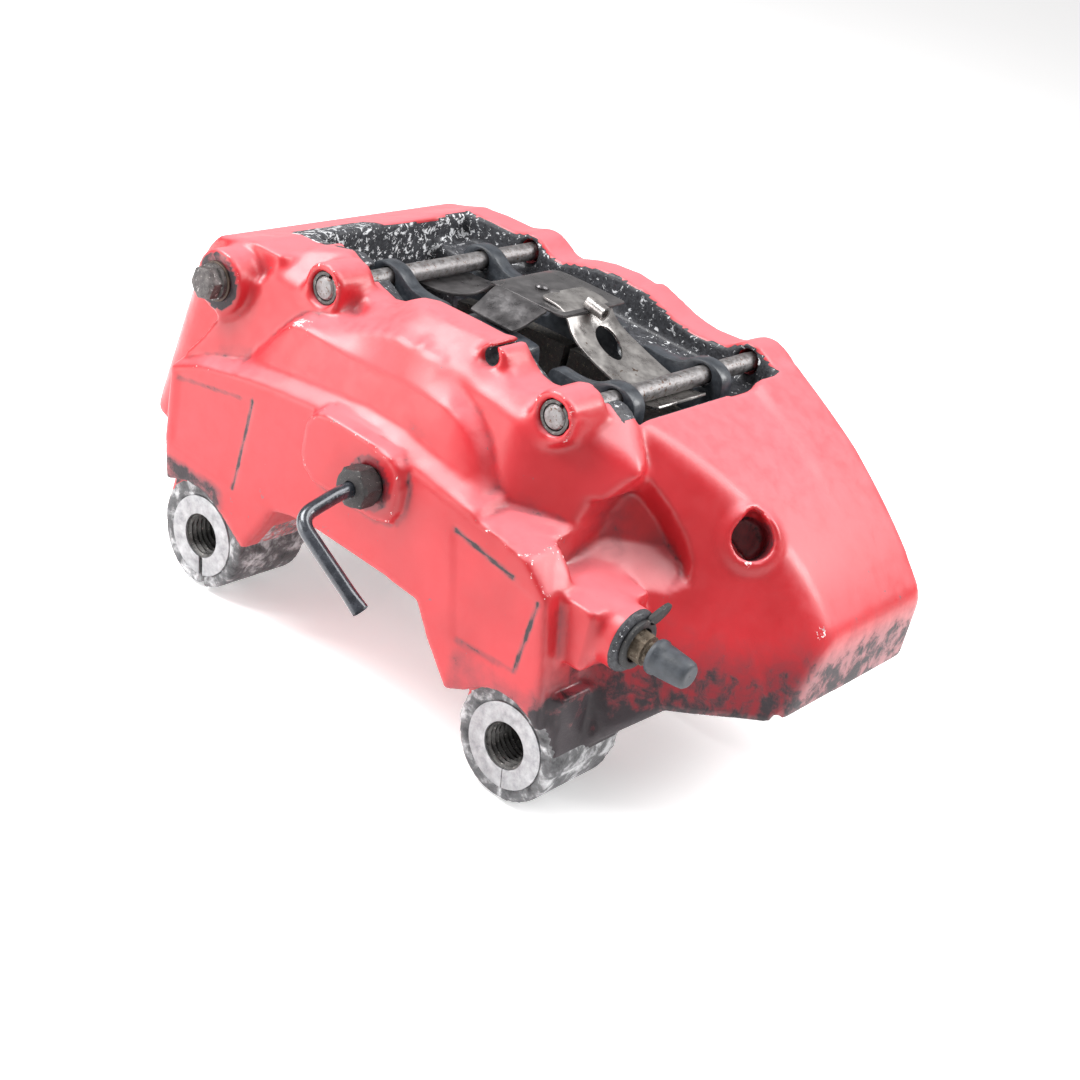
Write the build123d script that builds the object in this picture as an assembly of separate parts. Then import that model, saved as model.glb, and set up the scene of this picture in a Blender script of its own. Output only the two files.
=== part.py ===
"""Fixed four-piston brake caliper with two threaded lugs, pads, pins, spring and a pipe stub.

Frame: origin midway between the two lug bores, on their machined faces.  +X runs along the
caliper towards the bleeder, +Y from the inboard (vehicle) side to the outboard (wheel) side,
parallel to the disc's axle, and +Z away from the axle.  Millimetres.
"""
from build123d import *
import os
from math import sqrt

# ---- driving dimensions ------------------------------------------------------------------
# lugs
LUG_SPACING = 142.0
LUG_RADIUS = 18.5
LUG_DEPTH = 32.0
LUG_BORE_RADIUS = 6.9
LUG_X = LUG_SPACING / 2

# brake disc and the pad stack on each side of it
DISC_CENTRE_Z = -57.7
DISC_MID_Y = 70.5
DISC_THICKNESS = 28.0
DISC_GAP_NEAR_Y = 54.5
DISC_GAP_FAR_Y = 2 * DISC_MID_Y - DISC_GAP_NEAR_Y
BRIDGE_INNER_RADIUS = 152.5
BRIDGE_OUTER_RADIUS = 167.5
FRICTION_THICKNESS = 6.5
BACKING_THICKNESS = 6.0
PAD_HALF_LENGTH = 57.0

# pistons and their bores
PISTON_X = 33.0
PISTON_Z = 61.0
PISTON_RADIUS = 20.0
PISTON_LENGTH = 26.0
PISTON_CLEARANCE = 0.08
PISTON_WALL = 3.0
SEAL_WIDTH = 3.6
SEAL_DEPTH = 2.6
BOOT_OUTER_RADIUS = 23.4

# walls of the casting, measured along Y
PANEL_Y = -5.5
INLET_PAD_Y = -9.5
BULGE_Y = 4.5
SHOULDER_Y = 14.5
INBOARD_MOUTH_Y = 39.5
OUTBOARD_MOUTH_Y = 2 * DISC_MID_Y - INBOARD_MOUTH_Y
OUTBOARD_SKIN_Y = 132.0
OUTBOARD_BULGE_Y = 141.0
BORE_DEPTH = 27.0

# ends of the casting
NOSE_X = 130.0
NOSE_BOTTOM_Z = 24.0
NOSE_TOP_Z = 47.0
WINDOW_LEFT_X = -80.0
WINDOW_RIGHT_X = 61.0
WINDOW_NEAR_Y = 41.5
WINDOW_FAR_Y = 117.0
SLOPE_TOP_Y = 33.0

# pad retaining pins
PIN_X = 49.1
PIN_Z = 98.6
PIN_RADIUS = 3.25
PIN_NEAR_Y = 14.7
PIN_FAR_Y = 129.0
PIN_BOSS_RADIUS = 8.5
COLLAR_RADIUS = 5.4
COLLAR_LENGTH = 7.0
PIN_RUNNING_CLEARANCE = 0.08

# pad spring
SPRING_THICKNESS = 1.0
SPRING_RISE = 10.0
SPRING_HALF_WIDTH = 14.5
RIVET_XS = (-2.0, 7.0)
RIVET_RADIUS = 1.3

# bleeder, at the right-hand end of the inboard wall
BLEEDER_Y = 14.5
BLEEDER_Z = 47.7
BLEEDER_FACE_X = 97.0
BLEEDER_BORE_RADIUS = 3.5

# inlet port with its tube nut and pipe
INLET_X = 6.0
INLET_Z = 61.0
PIPE_RADIUS = 2.375
NUT_FLATS = 12.0
NUT_FACE_Y = -17.5
PIPE_BEND_Y = -37.5
PIPE_BEND_Z = 56.0

# plug of the drilled cross passage
PLUG_X = -85.0
PLUG_Z = 88.0
PLUG_FLATS = 10.0
PLUG_SEAT_Y = 4.5


# ---- small helpers -----------------------------------------------------------------------
def side_plane(y):
    """Plane at Y = y whose local axes are world X and world Z."""
    return Plane(origin=(0, y, 0), x_dir=(1, 0, 0), z_dir=(0, -1, 0))


def slab(points, y_from, y_to):
    """Closed outline of (x, z) points, run along Y."""
    outline = Polyline(*[(x, z) for x, z in points], close=True)
    face = side_plane(y_from) * make_face(outline)
    return extrude(face, amount=y_to - y_from, dir=(0, 1, 0))


def rod_y(x, z, radius, y_from, y_to):
    """Round rod along Y."""
    face = side_plane(y_from) * (Pos(x, z) * Circle(radius))
    return extrude(face, amount=y_to - y_from, dir=(0, 1, 0))


def rod_x(y, z, radius, x_from, x_to):
    """Round rod along X."""
    face = Plane(origin=(x_from, y, z), z_dir=(1, 0, 0)) * Circle(radius)
    return extrude(face, amount=x_to - x_from)


def ring_y(x, z, outer, inner, y_from, y_to):
    """Round tube along Y."""
    return rod_y(x, z, outer, y_from, y_to) - rod_y(x, z, inner, y_from - 1, y_to + 1)


def ring_x(y, z, outer, inner, x_from, x_to):
    """Round tube along X."""
    return rod_x(y, z, outer, x_from, x_to) - rod_x(y, z, inner, x_from - 1, x_to + 1)


def block(x_span, y_span, z_span):
    """Box between two corners."""
    size = [high - low for low, high in (x_span, y_span, z_span)]
    centre = [(high + low) / 2 for low, high in (x_span, y_span, z_span)]
    return Pos(*centre) * Box(*size)


def hexagon_y(x, z, flats, y_from, y_to):
    """Hexagonal prism along Y, given its width across flats."""
    face = side_plane(y_from) * (Pos(x, z) * RegularPolygon(flats / 2, 6, major_radius=False))
    return extrude(face, amount=y_to - y_from, dir=(0, 1, 0))


def on_disc_circle(radius, x):
    """Z of a circle about the disc's axle, at a given X."""
    return DISC_CENTRE_Z + sqrt(radius**2 - x**2)


# ---- casting -----------------------------------------------------------------------------
def bridge_ring():
    """Arch over the disc that joins the two walls at both ends."""
    nose_lines = [
        Line((NOSE_X, on_disc_circle(BRIDGE_INNER_RADIUS, NOSE_X)), (NOSE_X, NOSE_TOP_Z)),
        Line((NOSE_X, NOSE_TOP_Z), (127.5, on_disc_circle(BRIDGE_OUTER_RADIUS, 127.5))),
        ThreePointArc(
            (127.5, on_disc_circle(BRIDGE_OUTER_RADIUS, 127.5)),
            (100, on_disc_circle(BRIDGE_OUTER_RADIUS, 100)),
            (WINDOW_RIGHT_X, on_disc_circle(BRIDGE_OUTER_RADIUS, WINDOW_RIGHT_X)),
        ),
    ]
    shoulder = Polyline(
        (WINDOW_RIGHT_X, on_disc_circle(BRIDGE_OUTER_RADIUS, WINDOW_RIGHT_X)),
        (0, 102),
        (-82, 101.5),
        (-98, 97),
        (-112, 86),
        (-124, 72),
        (-NOSE_X, 58),
        (-NOSE_X, on_disc_circle(BRIDGE_INNER_RADIUS, NOSE_X)),
    )
    underside = ThreePointArc(
        (-NOSE_X, on_disc_circle(BRIDGE_INNER_RADIUS, NOSE_X)),
        (0, on_disc_circle(BRIDGE_INNER_RADIUS, 0)),
        (NOSE_X, on_disc_circle(BRIDGE_INNER_RADIUS, NOSE_X)),
    )
    face = side_plane(SHOULDER_Y) * make_face(Wire([*nose_lines, *shoulder.edges(), underside]))
    return extrude(face, amount=OUTBOARD_SKIN_Y - SHOULDER_Y, dir=(0, 1, 0))


def wall_end(sign):
    """Part of the inboard wall between a lug and its end of the casting."""
    behind_lug = [(40, 12), (82, -2), (95, 12), (104, 22), (NOSE_X, NOSE_BOTTOM_Z), (NOSE_X, 40),
                  (110, 55), (80, 80), (40, 95)]
    beside_disc = [(62, 60), (90, 24), (104, 22), (NOSE_X, NOSE_BOTTOM_Z), (NOSE_X, 40),
                   (110, 55), (80, 80), (62, 92)]
    near = slab([(sign * x, z) for x, z in behind_lug], SHOULDER_Y, INBOARD_MOUTH_Y)
    far = slab([(sign * x, z) for x, z in beside_disc], INBOARD_MOUTH_Y, DISC_GAP_NEAR_Y)
    outer = slab([(sign * x, z) for x, z in beside_disc], DISC_GAP_FAR_Y, OUTBOARD_SKIN_Y)
    return near + far + outer


def end_facets(shape):
    """Lean the inboard corners of both ends back towards the disc."""
    right = Plane(origin=(WINDOW_RIGHT_X, 40.2, 98), z_dir=(0.622, -0.633, 0.459))
    left = Plane(origin=(-98, 6, 75), z_dir=(-0.70, -0.70, 0.14))
    for plane in (right, left):
        shape = split(shape, bisect_by=plane, keep=Keep.BOTTOM)
    return shape


def inboard_wall():
    """Thick wall that holds the two inboard cylinders, stepped forward to the flat panel."""
    core = slab(
        [(-92, 12), (-96, 57), (-98, 90), (-84, 101), (-60, 105), (-40, 105), (-31, 101),
         (3, 103), (15, 100), (22, 97), (34, 98), (42, 104), (57, 104), (67, 92), (72, 60),
         (80, 40), (80, 5), (47, 10), (37, 21), (29, 31), (-28, 31), (-39, 21), (-46, 10)],
        SHOULDER_Y, WINDOW_NEAR_Y,
    )
    bulge = slab(
        [(-92, 20), (-95, 57), (-93, 95), (-78, 97), (-66, 80), (-51, 87), (-41, 92), (-22, 89),
         (7, 91), (18, 91), (30, 90.5), (36, 86), (43, 79), (62, 78), (74, 66), (80, 30), (29, 31),
         (-28, 31), (-39, 22)],
        BULGE_Y, SHOULDER_Y,
    )
    panel = slab(
        [(-88, 18), (-89, 57), (-52, 66), (-27, 71), (16, 73), (62, 67), (77, 58), (81, 31),
         (84, 2), (47, 10), (37, 21), (29, 31), (-28, 31), (-39, 21), (-46, 10), (-78, 19)],
        PANEL_Y, SHOULDER_Y,
    )
    inlet_face = side_plane(INLET_PAD_Y) * (Pos(-3, 62) * RectangleRounded(42, 24, 7))
    inlet_pad = extrude(inlet_face, amount=8, dir=(0, 1, 0))
    return core + bulge + panel + inlet_pad


def lug(sign):
    """Mounting lug with its web up into the wall, and the machined front face left flat."""
    x = sign * LUG_X
    boss = rod_y(x, 0, LUG_RADIUS, 0, LUG_DEPTH)
    web = slab(
        [(x - LUG_RADIUS, 0), (x + LUG_RADIUS, 0), (x + LUG_RADIUS, 24), (x - LUG_RADIUS, 24)],
        0, LUG_DEPTH,
    )
    return boss + web


def lug_relief(sign):
    """Space in front of the lug face, cut out of the panel so that the face is reachable."""
    return rod_y(sign * LUG_X, 0, LUG_RADIUS + 1.5, PANEL_Y - 5, 0)


def outboard_wall():
    """Wall on the wheel side, with a swelling over each outboard cylinder."""
    wall = slab(
        [(-118, 26), (-112, 80), (-84, 101), (-40, 103), (-22, 105), (0, 105), (14, 100),
         (60, 99), (90, 82), (118, 58), (118, 26), (78, 26), (52, 20), (-52, 20), (-78, 26)],
        OUTBOARD_MOUTH_Y, OUTBOARD_SKIN_Y,
    )
    for sign in (-1, 1):
        swelling = rod_y(sign * PISTON_X, PISTON_Z, 29, OUTBOARD_SKIN_Y - 2, OUTBOARD_BULGE_Y)
        swelling = chamfer(swelling.edges().filter_by(GeomType.CIRCLE).sort_by(Axis.Y)[-1], 7)
        wall += swelling
    waist = slab(
        [(-30, 40), (-30, 82), (30, 82), (30, 40)], OUTBOARD_SKIN_Y - 2, OUTBOARD_BULGE_Y - 3
    )
    return wall + waist


def pin_bosses():
    """Round bosses that carry the pad pins in both walls."""
    bosses = []
    for sign in (-1, 1):
        bosses.append(rod_y(sign * PIN_X, PIN_Z, PIN_BOSS_RADIUS, PIN_NEAR_Y, 30))
        bosses.append(rod_y(sign * PIN_X, PIN_Z - 2, PIN_BOSS_RADIUS, 114, OUTBOARD_SKIN_Y))
    return bosses


def bleeder_boss():
    """Block and round boss that carry the bleeder screw."""
    root = block((70, 88), (0, 30), (36, 57))
    return root + rod_x(BLEEDER_Y, BLEEDER_Z, 10, 80, BLEEDER_FACE_X)


def plug_boss():
    """Round boss around the plug of the cross passage."""
    return rod_y(PLUG_X, PLUG_Z, 10.5, PLUG_SEAT_Y - 1, 20)


def window_cuts():
    """Opening that the pads drop through, with a slope down to its inboard edge."""
    slope_line = Polyline((SLOPE_TOP_Y, 106.0), (WINDOW_NEAR_Y + 1, 97.0), (WINDOW_NEAR_Y + 1, 130),
                          (SLOPE_TOP_Y, 130), close=True)
    slope_plane = Plane(origin=(WINDOW_LEFT_X + 14, 0, 0), x_dir=(0, 1, 0), z_dir=(1, 0, 0))
    near_slope = extrude(slope_plane * make_face(slope_line),
                         amount=WINDOW_RIGHT_X - WINDOW_LEFT_X - 14)
    return [
        block((WINDOW_LEFT_X, WINDOW_RIGHT_X), (WINDOW_NEAR_Y, OUTBOARD_MOUTH_Y), (10, 130)),
        block((WINDOW_LEFT_X, WINDOW_RIGHT_X), (OUTBOARD_MOUTH_Y - 1, WINDOW_FAR_Y), (90, 130)),
        near_slope,
    ]


def disc_clearance():
    """Sweep of the brake disc between the walls."""
    return rod_y(0, DISC_CENTRE_Z, BRIDGE_INNER_RADIUS, DISC_GAP_NEAR_Y, DISC_GAP_FAR_Y)


def bore_cuts(x, side):
    """Cylinder, seal groove and boot recess for one piston; side is +1 for the inboard wall."""
    mouth = INBOARD_MOUTH_Y if side > 0 else OUTBOARD_MOUTH_Y
    floor = mouth - side * BORE_DEPTH
    radius = PISTON_RADIUS + PISTON_CLEARANCE
    groove = mouth - side * 9.0
    recess = mouth - side * 3.6

    def span(a, b):
        return min(a, b), max(a, b)

    return [
        rod_y(x, PISTON_Z, radius, *span(floor, mouth + side * 4)),
        rod_y(x, PISTON_Z, radius + SEAL_DEPTH, *span(groove, groove - side * SEAL_WIDTH)),
        rod_y(x, PISTON_Z, BOOT_OUTER_RADIUS, *span(recess, mouth + side * 4)),
    ]


def drilled_holes():
    """Pin bores, lug threads, ports and passages."""
    holes = []
    for sign in (-1, 1):
        pin_x = sign * PIN_X
        holes.append(rod_y(pin_x, PIN_Z, PIN_RADIUS + PIN_RUNNING_CLEARANCE, 0, 126))
        holes.append(rod_y(pin_x, PIN_Z, COLLAR_RADIUS + PIN_RUNNING_CLEARANCE,
                           0, PIN_NEAR_Y + COLLAR_LENGTH + 0.5))
        holes.append(rod_y(sign * LUG_X, 0, LUG_BORE_RADIUS, -1, LUG_DEPTH + 1))
    holes.append(rod_y(INLET_X, INLET_Z, 5.0, INLET_PAD_Y - 1, 8))
    holes.append(rod_y(INLET_X, INLET_Z, 2.0, 0, 24))
    holes.append(rod_x(BLEEDER_Y + 4, INLET_Z, 2.0, -PISTON_X, PISTON_X))
    holes.append(rod_x(BLEEDER_Y, BLEEDER_Z, BLEEDER_BORE_RADIUS + 1.0, 72, BLEEDER_FACE_X + 1))
    holes.append(rod_y(PLUG_X, PLUG_Z, 4.0, -1, 18))
    holes.append(rod_y(PLUG_X, PLUG_Z, 2.2, 10, 122))
    return holes


def spring_keyhole():
    """Round-ended slot through the near rim, and the blind pocket in the right-hand end."""
    slot = rod_y(10, 98, 3.2, 10, 60) + block((10.5, 12.7), (10, 60), (98, 115))
    axis = Plane(origin=(104, 55, 78), z_dir=(0.62, -0.63, 0.46))
    pocket = extrude(axis * Circle(6.5), amount=-20) + extrude(axis * Circle(6.5), amount=10)
    return [slot, pocket]


def make_casting():
    """The whole one-piece casting."""
    ends = end_facets(bridge_ring() + wall_end(1) + wall_end(-1))
    body = ends + inboard_wall() + outboard_wall() + bleeder_boss() + plug_boss()
    for boss in pin_bosses():
        body += boss
    for sign in (-1, 1):
        body += lug(sign)
        body -= lug_relief(sign)
    for cut in window_cuts() + [disc_clearance()] + drilled_holes() + spring_keyhole():
        body -= cut
    for x in (-PISTON_X, PISTON_X):
        for side in (1, -1):
            for cut in bore_cuts(x, side):
                body -= cut
    return body


# ---- pistons, seals and boots ------------------------------------------------------------
def mirrored_if(shape, side):
    """Inboard shapes as drawn; outboard ones mirrored about the disc's mid plane."""
    if side > 0:
        return shape
    return mirror(shape, about=Plane(origin=(0, DISC_MID_Y, 0), z_dir=(0, 1, 0)))


PAD_BACK_Y = DISC_MID_Y - DISC_THICKNESS / 2 - FRICTION_THICKNESS - BACKING_THICKNESS


def make_piston(x, side):
    """Hollow cup that pushes the pad's backing plate, open towards the pad."""
    crown = PAD_BACK_Y
    cup = rod_y(x, PISTON_Z, PISTON_RADIUS, crown - PISTON_LENGTH, crown)
    cup -= rod_y(x, PISTON_Z, PISTON_RADIUS - PISTON_WALL, crown - PISTON_LENGTH + 5, crown + 1)
    cup -= ring_y(x, PISTON_Z, PISTON_RADIUS + 1, PISTON_RADIUS - 1.2, crown - 3.2, crown - 1.4)
    return mirrored_if(cup, side)


def make_piston_seal(x, side):
    """Square-section ring in the cylinder's groove."""
    groove = INBOARD_MOUTH_Y - 9.0
    ring = ring_y(x, PISTON_Z, PISTON_RADIUS + SEAL_DEPTH - 0.1, PISTON_RADIUS + 0.05,
                  groove - SEAL_WIDTH + 0.2, groove - 0.2)
    return mirrored_if(ring, side)


def make_dust_boot(x, side):
    """Rubber ring pressed into the mouth of the cylinder, with a raised lip round the piston."""
    base = ring_y(x, PISTON_Z, BOOT_OUTER_RADIUS - 0.05, PISTON_RADIUS + 0.3,
                  INBOARD_MOUTH_Y - 3.5, INBOARD_MOUTH_Y)
    lip = ring_y(x, PISTON_Z, PISTON_RADIUS + 1.6, PISTON_RADIUS + 0.3,
                 INBOARD_MOUTH_Y, INBOARD_MOUTH_Y + 1.6)
    return mirrored_if(base + lip, side)


# ---- brake pads --------------------------------------------------------------------------
def make_backing_plate(side):
    """Steel plate with a hooked arm out to each pin, notched either side of its middle."""
    top_right = Polyline((0, 101), (13, 101), (15, 91), (22.5, 91), (23.5, 98.8), (31, 98.3),
                         (37.5, 98.9), (41, 100.6), (44, 102.8))
    ear = ThreePointArc((44, 102.8), (50.5, 104.0), (58, 98.6))
    flank = Polyline((58, 98.6), (58, 90), (56, 58), (49, 42))
    sole = ThreePointArc((49, 42), (25, 36.5), (0, 35))
    half_edges = [*top_right.edges(), ear, *flank.edges(), sole]
    half_face = make_face(Wire([*half_edges, Line((0, 35), (0, 101))]))
    face = side_plane(PAD_BACK_Y) * (half_face + mirror(half_face, about=Plane.YZ))
    plate = extrude(face, amount=BACKING_THICKNESS, dir=(0, 1, 0))
    for sign in (-1, 1):
        hole = rod_y(sign * PIN_X, PIN_Z, PIN_RADIUS + 0.35, PAD_BACK_Y - 1, PAD_BACK_Y + 9)
        plate -= hole
    return mirrored_if(plate, side)


def make_friction_block(side):
    """Worn friction material with a wear groove down its middle."""
    front = PAD_BACK_Y + BACKING_THICKNESS
    outer = ThreePointArc((-50, 84), (0, 88), (50, 84))
    inner = ThreePointArc((-46, 44), (0, 38), (46, 44))
    sides = [Line((50, 84), (46, 44)), Line((-46, 44), (-50, 84))]
    face = side_plane(front) * make_face(Wire([outer, sides[0], inner, sides[1]]))
    friction = extrude(face, amount=FRICTION_THICKNESS, dir=(0, 1, 0))
    friction -= block((-1.25, 1.25), (front + 1.0, front + 20), (30, 95))
    return mirrored_if(friction, side)


# ---- pins and pad spring -----------------------------------------------------------------
def make_pin(x):
    """Hardened pin through both walls and both pads, with a small chamfer at each end."""
    pin = rod_y(x, PIN_Z, PIN_RADIUS, PIN_NEAR_Y + 0.5, PIN_FAR_Y - 4)
    return chamfer(pin.edges().filter_by(GeomType.CIRCLE), 0.6)


def make_pin_collar(x):
    """Split spring sleeve that grips the pin in the mouth of the inboard boss."""
    sleeve = ring_y(x, PIN_Z, COLLAR_RADIUS, PIN_RADIUS, PIN_NEAR_Y + 0.3,
                    PIN_NEAR_Y + COLLAR_LENGTH)
    return sleeve - block((x - 0.7, x + 0.7), (0, 60), (PIN_Z + 1, PIN_Z + 10))


def rivet_shank(x, radius):
    """Upright rod through both spring leaves, from under the lower to over the upper."""
    base = PIN_Z + SPRING_RISE
    return Pos(x, DISC_MID_Y, base + SPRING_THICKNESS) * Cylinder(radius, 3 * SPRING_THICKNESS)


def make_spring_cross():
    """Dark sheet spring: a tongue under the left pin, a raised middle and two wings on the pads."""
    under_pin = PIN_Z - PIN_RADIUS - 0.3 - SPRING_THICKNESS
    top = PIN_Z + SPRING_RISE
    profile = [(-63, under_pin - 1), (-53, under_pin), (-45, under_pin), (-36, under_pin + 2),
               (-26, under_pin + 5), (-12, top), (10, top)]
    upper = [(x, z + SPRING_THICKNESS) for x, z in reversed(profile)]
    tongue = slab(profile + upper, DISC_MID_Y - SPRING_HALF_WIDTH, DISC_MID_Y + SPRING_HALF_WIDTH)
    wing_profile = [(12, 0), (18, 0), (26, -5)]
    wings = Part()
    for side in (-1, 1):
        line = [(DISC_MID_Y + side * y, top + z) for y, z in wing_profile]
        thick = [(y, z + SPRING_THICKNESS) for y, z in reversed(line)]
        face = Plane(origin=(-12, 0, 0), x_dir=(0, 1, 0), z_dir=(1, 0, 0)) * make_face(
            Polyline(*(line + thick), close=True))
        wings += extrude(face, amount=22)
    cross = tongue + wings
    for x in RIVET_XS:
        cross -= rivet_shank(x, RIVET_RADIUS + 0.1)
    return cross


def make_spring_tongue():
    """Bright upper strip: lies on the middle, runs down under the right pin, with an oval window."""
    under_pin = PIN_Z - PIN_RADIUS - 0.3 - SPRING_THICKNESS
    top = PIN_Z + SPRING_RISE + SPRING_THICKNESS
    profile = [(-6, top), (12, top), (18, 106), (22, 103), (28, 100.7), (36, 98.2), (45, under_pin),
               (53, under_pin), (55, under_pin + 1.5)]
    upper = [(x, z + SPRING_THICKNESS) for x, z in reversed(profile)]
    strip = slab(profile + upper, DISC_MID_Y - SPRING_HALF_WIDTH, DISC_MID_Y + SPRING_HALF_WIDTH)
    slot_face = Plane.XY * (Pos(23.5, DISC_MID_Y) * Ellipse(5.5, 6.8))
    strip -= extrude(slot_face, amount=200)
    for x in RIVET_XS:
        strip -= rivet_shank(x, RIVET_RADIUS + 0.1)
    return strip


def make_spring_rivets():
    """Two rivets that hold the strip on the spring."""
    base = PIN_Z + SPRING_RISE
    rivets = Part()
    for x in RIVET_XS:
        head = Pos(x, DISC_MID_Y, base + 2 * SPRING_THICKNESS + 0.6) * Cylinder(2.4, 1.2)
        tail = Pos(x, DISC_MID_Y, base - 0.5) * Cylinder(2.2, 1.0)
        rivets += head + rivet_shank(x, RIVET_RADIUS) + tail
    return rivets


# ---- bleeder -----------------------------------------------------------------------------
def make_bleeder_screw():
    """Threaded nipple: thread in the boss, hexagon outside it, and a grooved tip."""
    thread = rod_x(BLEEDER_Y, BLEEDER_Z, BLEEDER_BORE_RADIUS + 0.9, 74, BLEEDER_FACE_X)
    hexagon_face = Plane(origin=(BLEEDER_FACE_X, BLEEDER_Y, BLEEDER_Z), z_dir=(1, 0, 0)) * (
        RegularPolygon(4.5, 6, major_radius=False))
    hexagon = extrude(hexagon_face, amount=5)
    neck = rod_x(BLEEDER_Y, BLEEDER_Z, 2.6, BLEEDER_FACE_X + 5, BLEEDER_FACE_X + 16)
    screw = thread + hexagon + neck
    return screw - rod_x(BLEEDER_Y, BLEEDER_Z, 1.0, 90, BLEEDER_FACE_X + 20)


def make_bleeder_cap():
    """Tapered rubber cap over the nipple's tip."""
    start = Plane(origin=(BLEEDER_FACE_X + 8, BLEEDER_Y, BLEEDER_Z), z_dir=(1, 0, 0))
    skin = Solid.make_cone(5.2, 4.4, 12, plane=start)
    return skin - rod_x(BLEEDER_Y, BLEEDER_Z, 2.65, BLEEDER_FACE_X + 7, BLEEDER_FACE_X + 16.1)


def make_cap_strap():
    """Rubber ring round the boss with the tab that keeps the cap from being lost."""
    ring = ring_x(BLEEDER_Y, BLEEDER_Z, 8.0, 5.4, BLEEDER_FACE_X, BLEEDER_FACE_X + 1.6)
    tab = block((BLEEDER_FACE_X, BLEEDER_FACE_X + 1.6), (BLEEDER_Y + 4, BLEEDER_Y + 12),
                (BLEEDER_Z + 4, BLEEDER_Z + 10))
    hole = rod_x(BLEEDER_Y, BLEEDER_Z, 5.4, BLEEDER_FACE_X - 1, BLEEDER_FACE_X + 3)
    return ring + (tab - hole)


# ---- inlet and plug ----------------------------------------------------------------------
def make_tube_nut():
    """Hexagon tube nut screwed into the inlet port, free to turn round the pipe."""
    head = hexagon_y(INLET_X, INLET_Z, NUT_FLATS, NUT_FACE_Y, INLET_PAD_Y)
    shank = rod_y(INLET_X, INLET_Z, 4.9, INLET_PAD_Y, 2)
    bore = rod_y(INLET_X, INLET_Z, PIPE_RADIUS + 0.1, NUT_FACE_Y - 1, 3)
    return head + shank - bore


def make_pipe():
    """Bent steel pipe, flared in the port and pinched flat at its cut end."""
    path = FilletPolyline(
        (INLET_X, 2, INLET_Z), (INLET_X, NUT_FACE_Y - 3, INLET_Z),
        (INLET_X, PIPE_BEND_Y, PIPE_BEND_Z), (36, PIPE_BEND_Y, 41),
        radius=7,
    )
    start = Plane(origin=path @ 0, z_dir=path % 0)
    tube = sweep(start * Circle(PIPE_RADIUS), path=path)
    flare = rod_y(INLET_X, INLET_Z, 3.6, 2, 5)
    return tube + flare


def make_passage_plug():
    """Hexagon plug that closes the drilled passage to the outboard cylinders."""
    seat = PLUG_SEAT_Y - 2.0
    head = hexagon_y(PLUG_X, PLUG_Z, PLUG_FLATS, seat - 6, seat)
    flange = rod_y(PLUG_X, PLUG_Z, 5.8, seat - 1.4, seat)
    return head + flange + rod_y(PLUG_X, PLUG_Z, 3.95, seat, 14)


def make_plug_washer():
    """Copper sealing washer under the plug."""
    return ring_y(PLUG_X, PLUG_Z, 6.6, 4.1, PLUG_SEAT_Y - 2.0, PLUG_SEAT_Y - 1.0)


# ---- all the nodes -----------------------------------------------------------------------
def all_nodes():
    """Every physical piece, by the name of its node."""
    nodes = {"caliper_body": make_casting()}
    for side_name, side in (("inboard", 1), ("outboard", -1)):
        for end_name, x in (("left", -PISTON_X), ("right", PISTON_X)):
            suffix = f"{side_name}_{end_name}"
            nodes[f"piston_{suffix}"] = make_piston(x, side)
            nodes[f"piston_seal_{suffix}"] = make_piston_seal(x, side)
            nodes[f"dust_boot_{suffix}"] = make_dust_boot(x, side)
        nodes[f"backing_plate_{side_name}"] = make_backing_plate(side)
        nodes[f"friction_pad_{side_name}"] = make_friction_block(side)
    for end_name, x in (("left", -PIN_X), ("right", PIN_X)):
        nodes[f"pad_pin_{end_name}"] = make_pin(x)
        nodes[f"pin_collar_{end_name}"] = make_pin_collar(x)
    nodes["pad_spring_cross"] = make_spring_cross()
    nodes["pad_spring_tongue"] = make_spring_tongue()
    nodes["pad_spring_rivets"] = make_spring_rivets()
    nodes["bleeder_screw"] = make_bleeder_screw()
    nodes["bleeder_cap"] = make_bleeder_cap()
    nodes["bleeder_cap_strap"] = make_cap_strap()
    nodes["inlet_tube_nut"] = make_tube_nut()
    nodes["brake_pipe_stub"] = make_pipe()
    nodes["passage_plug"] = make_passage_plug()
    nodes["passage_plug_washer"] = make_plug_washer()
    return nodes


os.makedirs("parts", exist_ok=True)
for name, shape in all_nodes().items():
    export_step(shape, f"parts/{name}.step")
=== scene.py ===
"""Looks of the brake caliper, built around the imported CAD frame.

The casting is sculpted as a solid field on a fine grid, so that its facets run into each other
with the soft radii of a painted casting.  Everything else is built piece by piece in mesh code.
Sizes in this file are millimetres until a mesh is made; MM turns them into metres.
"""
import math

import bpy
import numpy as np
import openvdb
from mathutils import Matrix, Vector
from mathutils.geometry import delaunay_2d_cdt


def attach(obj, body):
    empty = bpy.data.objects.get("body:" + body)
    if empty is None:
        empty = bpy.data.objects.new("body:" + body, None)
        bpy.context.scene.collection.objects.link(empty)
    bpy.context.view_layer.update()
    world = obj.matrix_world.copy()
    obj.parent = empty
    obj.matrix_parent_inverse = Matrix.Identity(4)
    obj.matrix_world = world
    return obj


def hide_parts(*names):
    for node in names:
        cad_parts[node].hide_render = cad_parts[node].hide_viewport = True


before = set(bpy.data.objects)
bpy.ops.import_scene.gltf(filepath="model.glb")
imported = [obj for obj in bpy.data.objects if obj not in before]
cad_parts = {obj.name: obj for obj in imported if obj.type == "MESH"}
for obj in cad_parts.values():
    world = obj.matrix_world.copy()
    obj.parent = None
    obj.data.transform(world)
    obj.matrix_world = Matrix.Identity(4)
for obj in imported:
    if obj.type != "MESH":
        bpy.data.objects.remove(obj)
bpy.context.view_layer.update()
MM = 0.001
SIDES = (("left", -1), ("right", 1))

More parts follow.
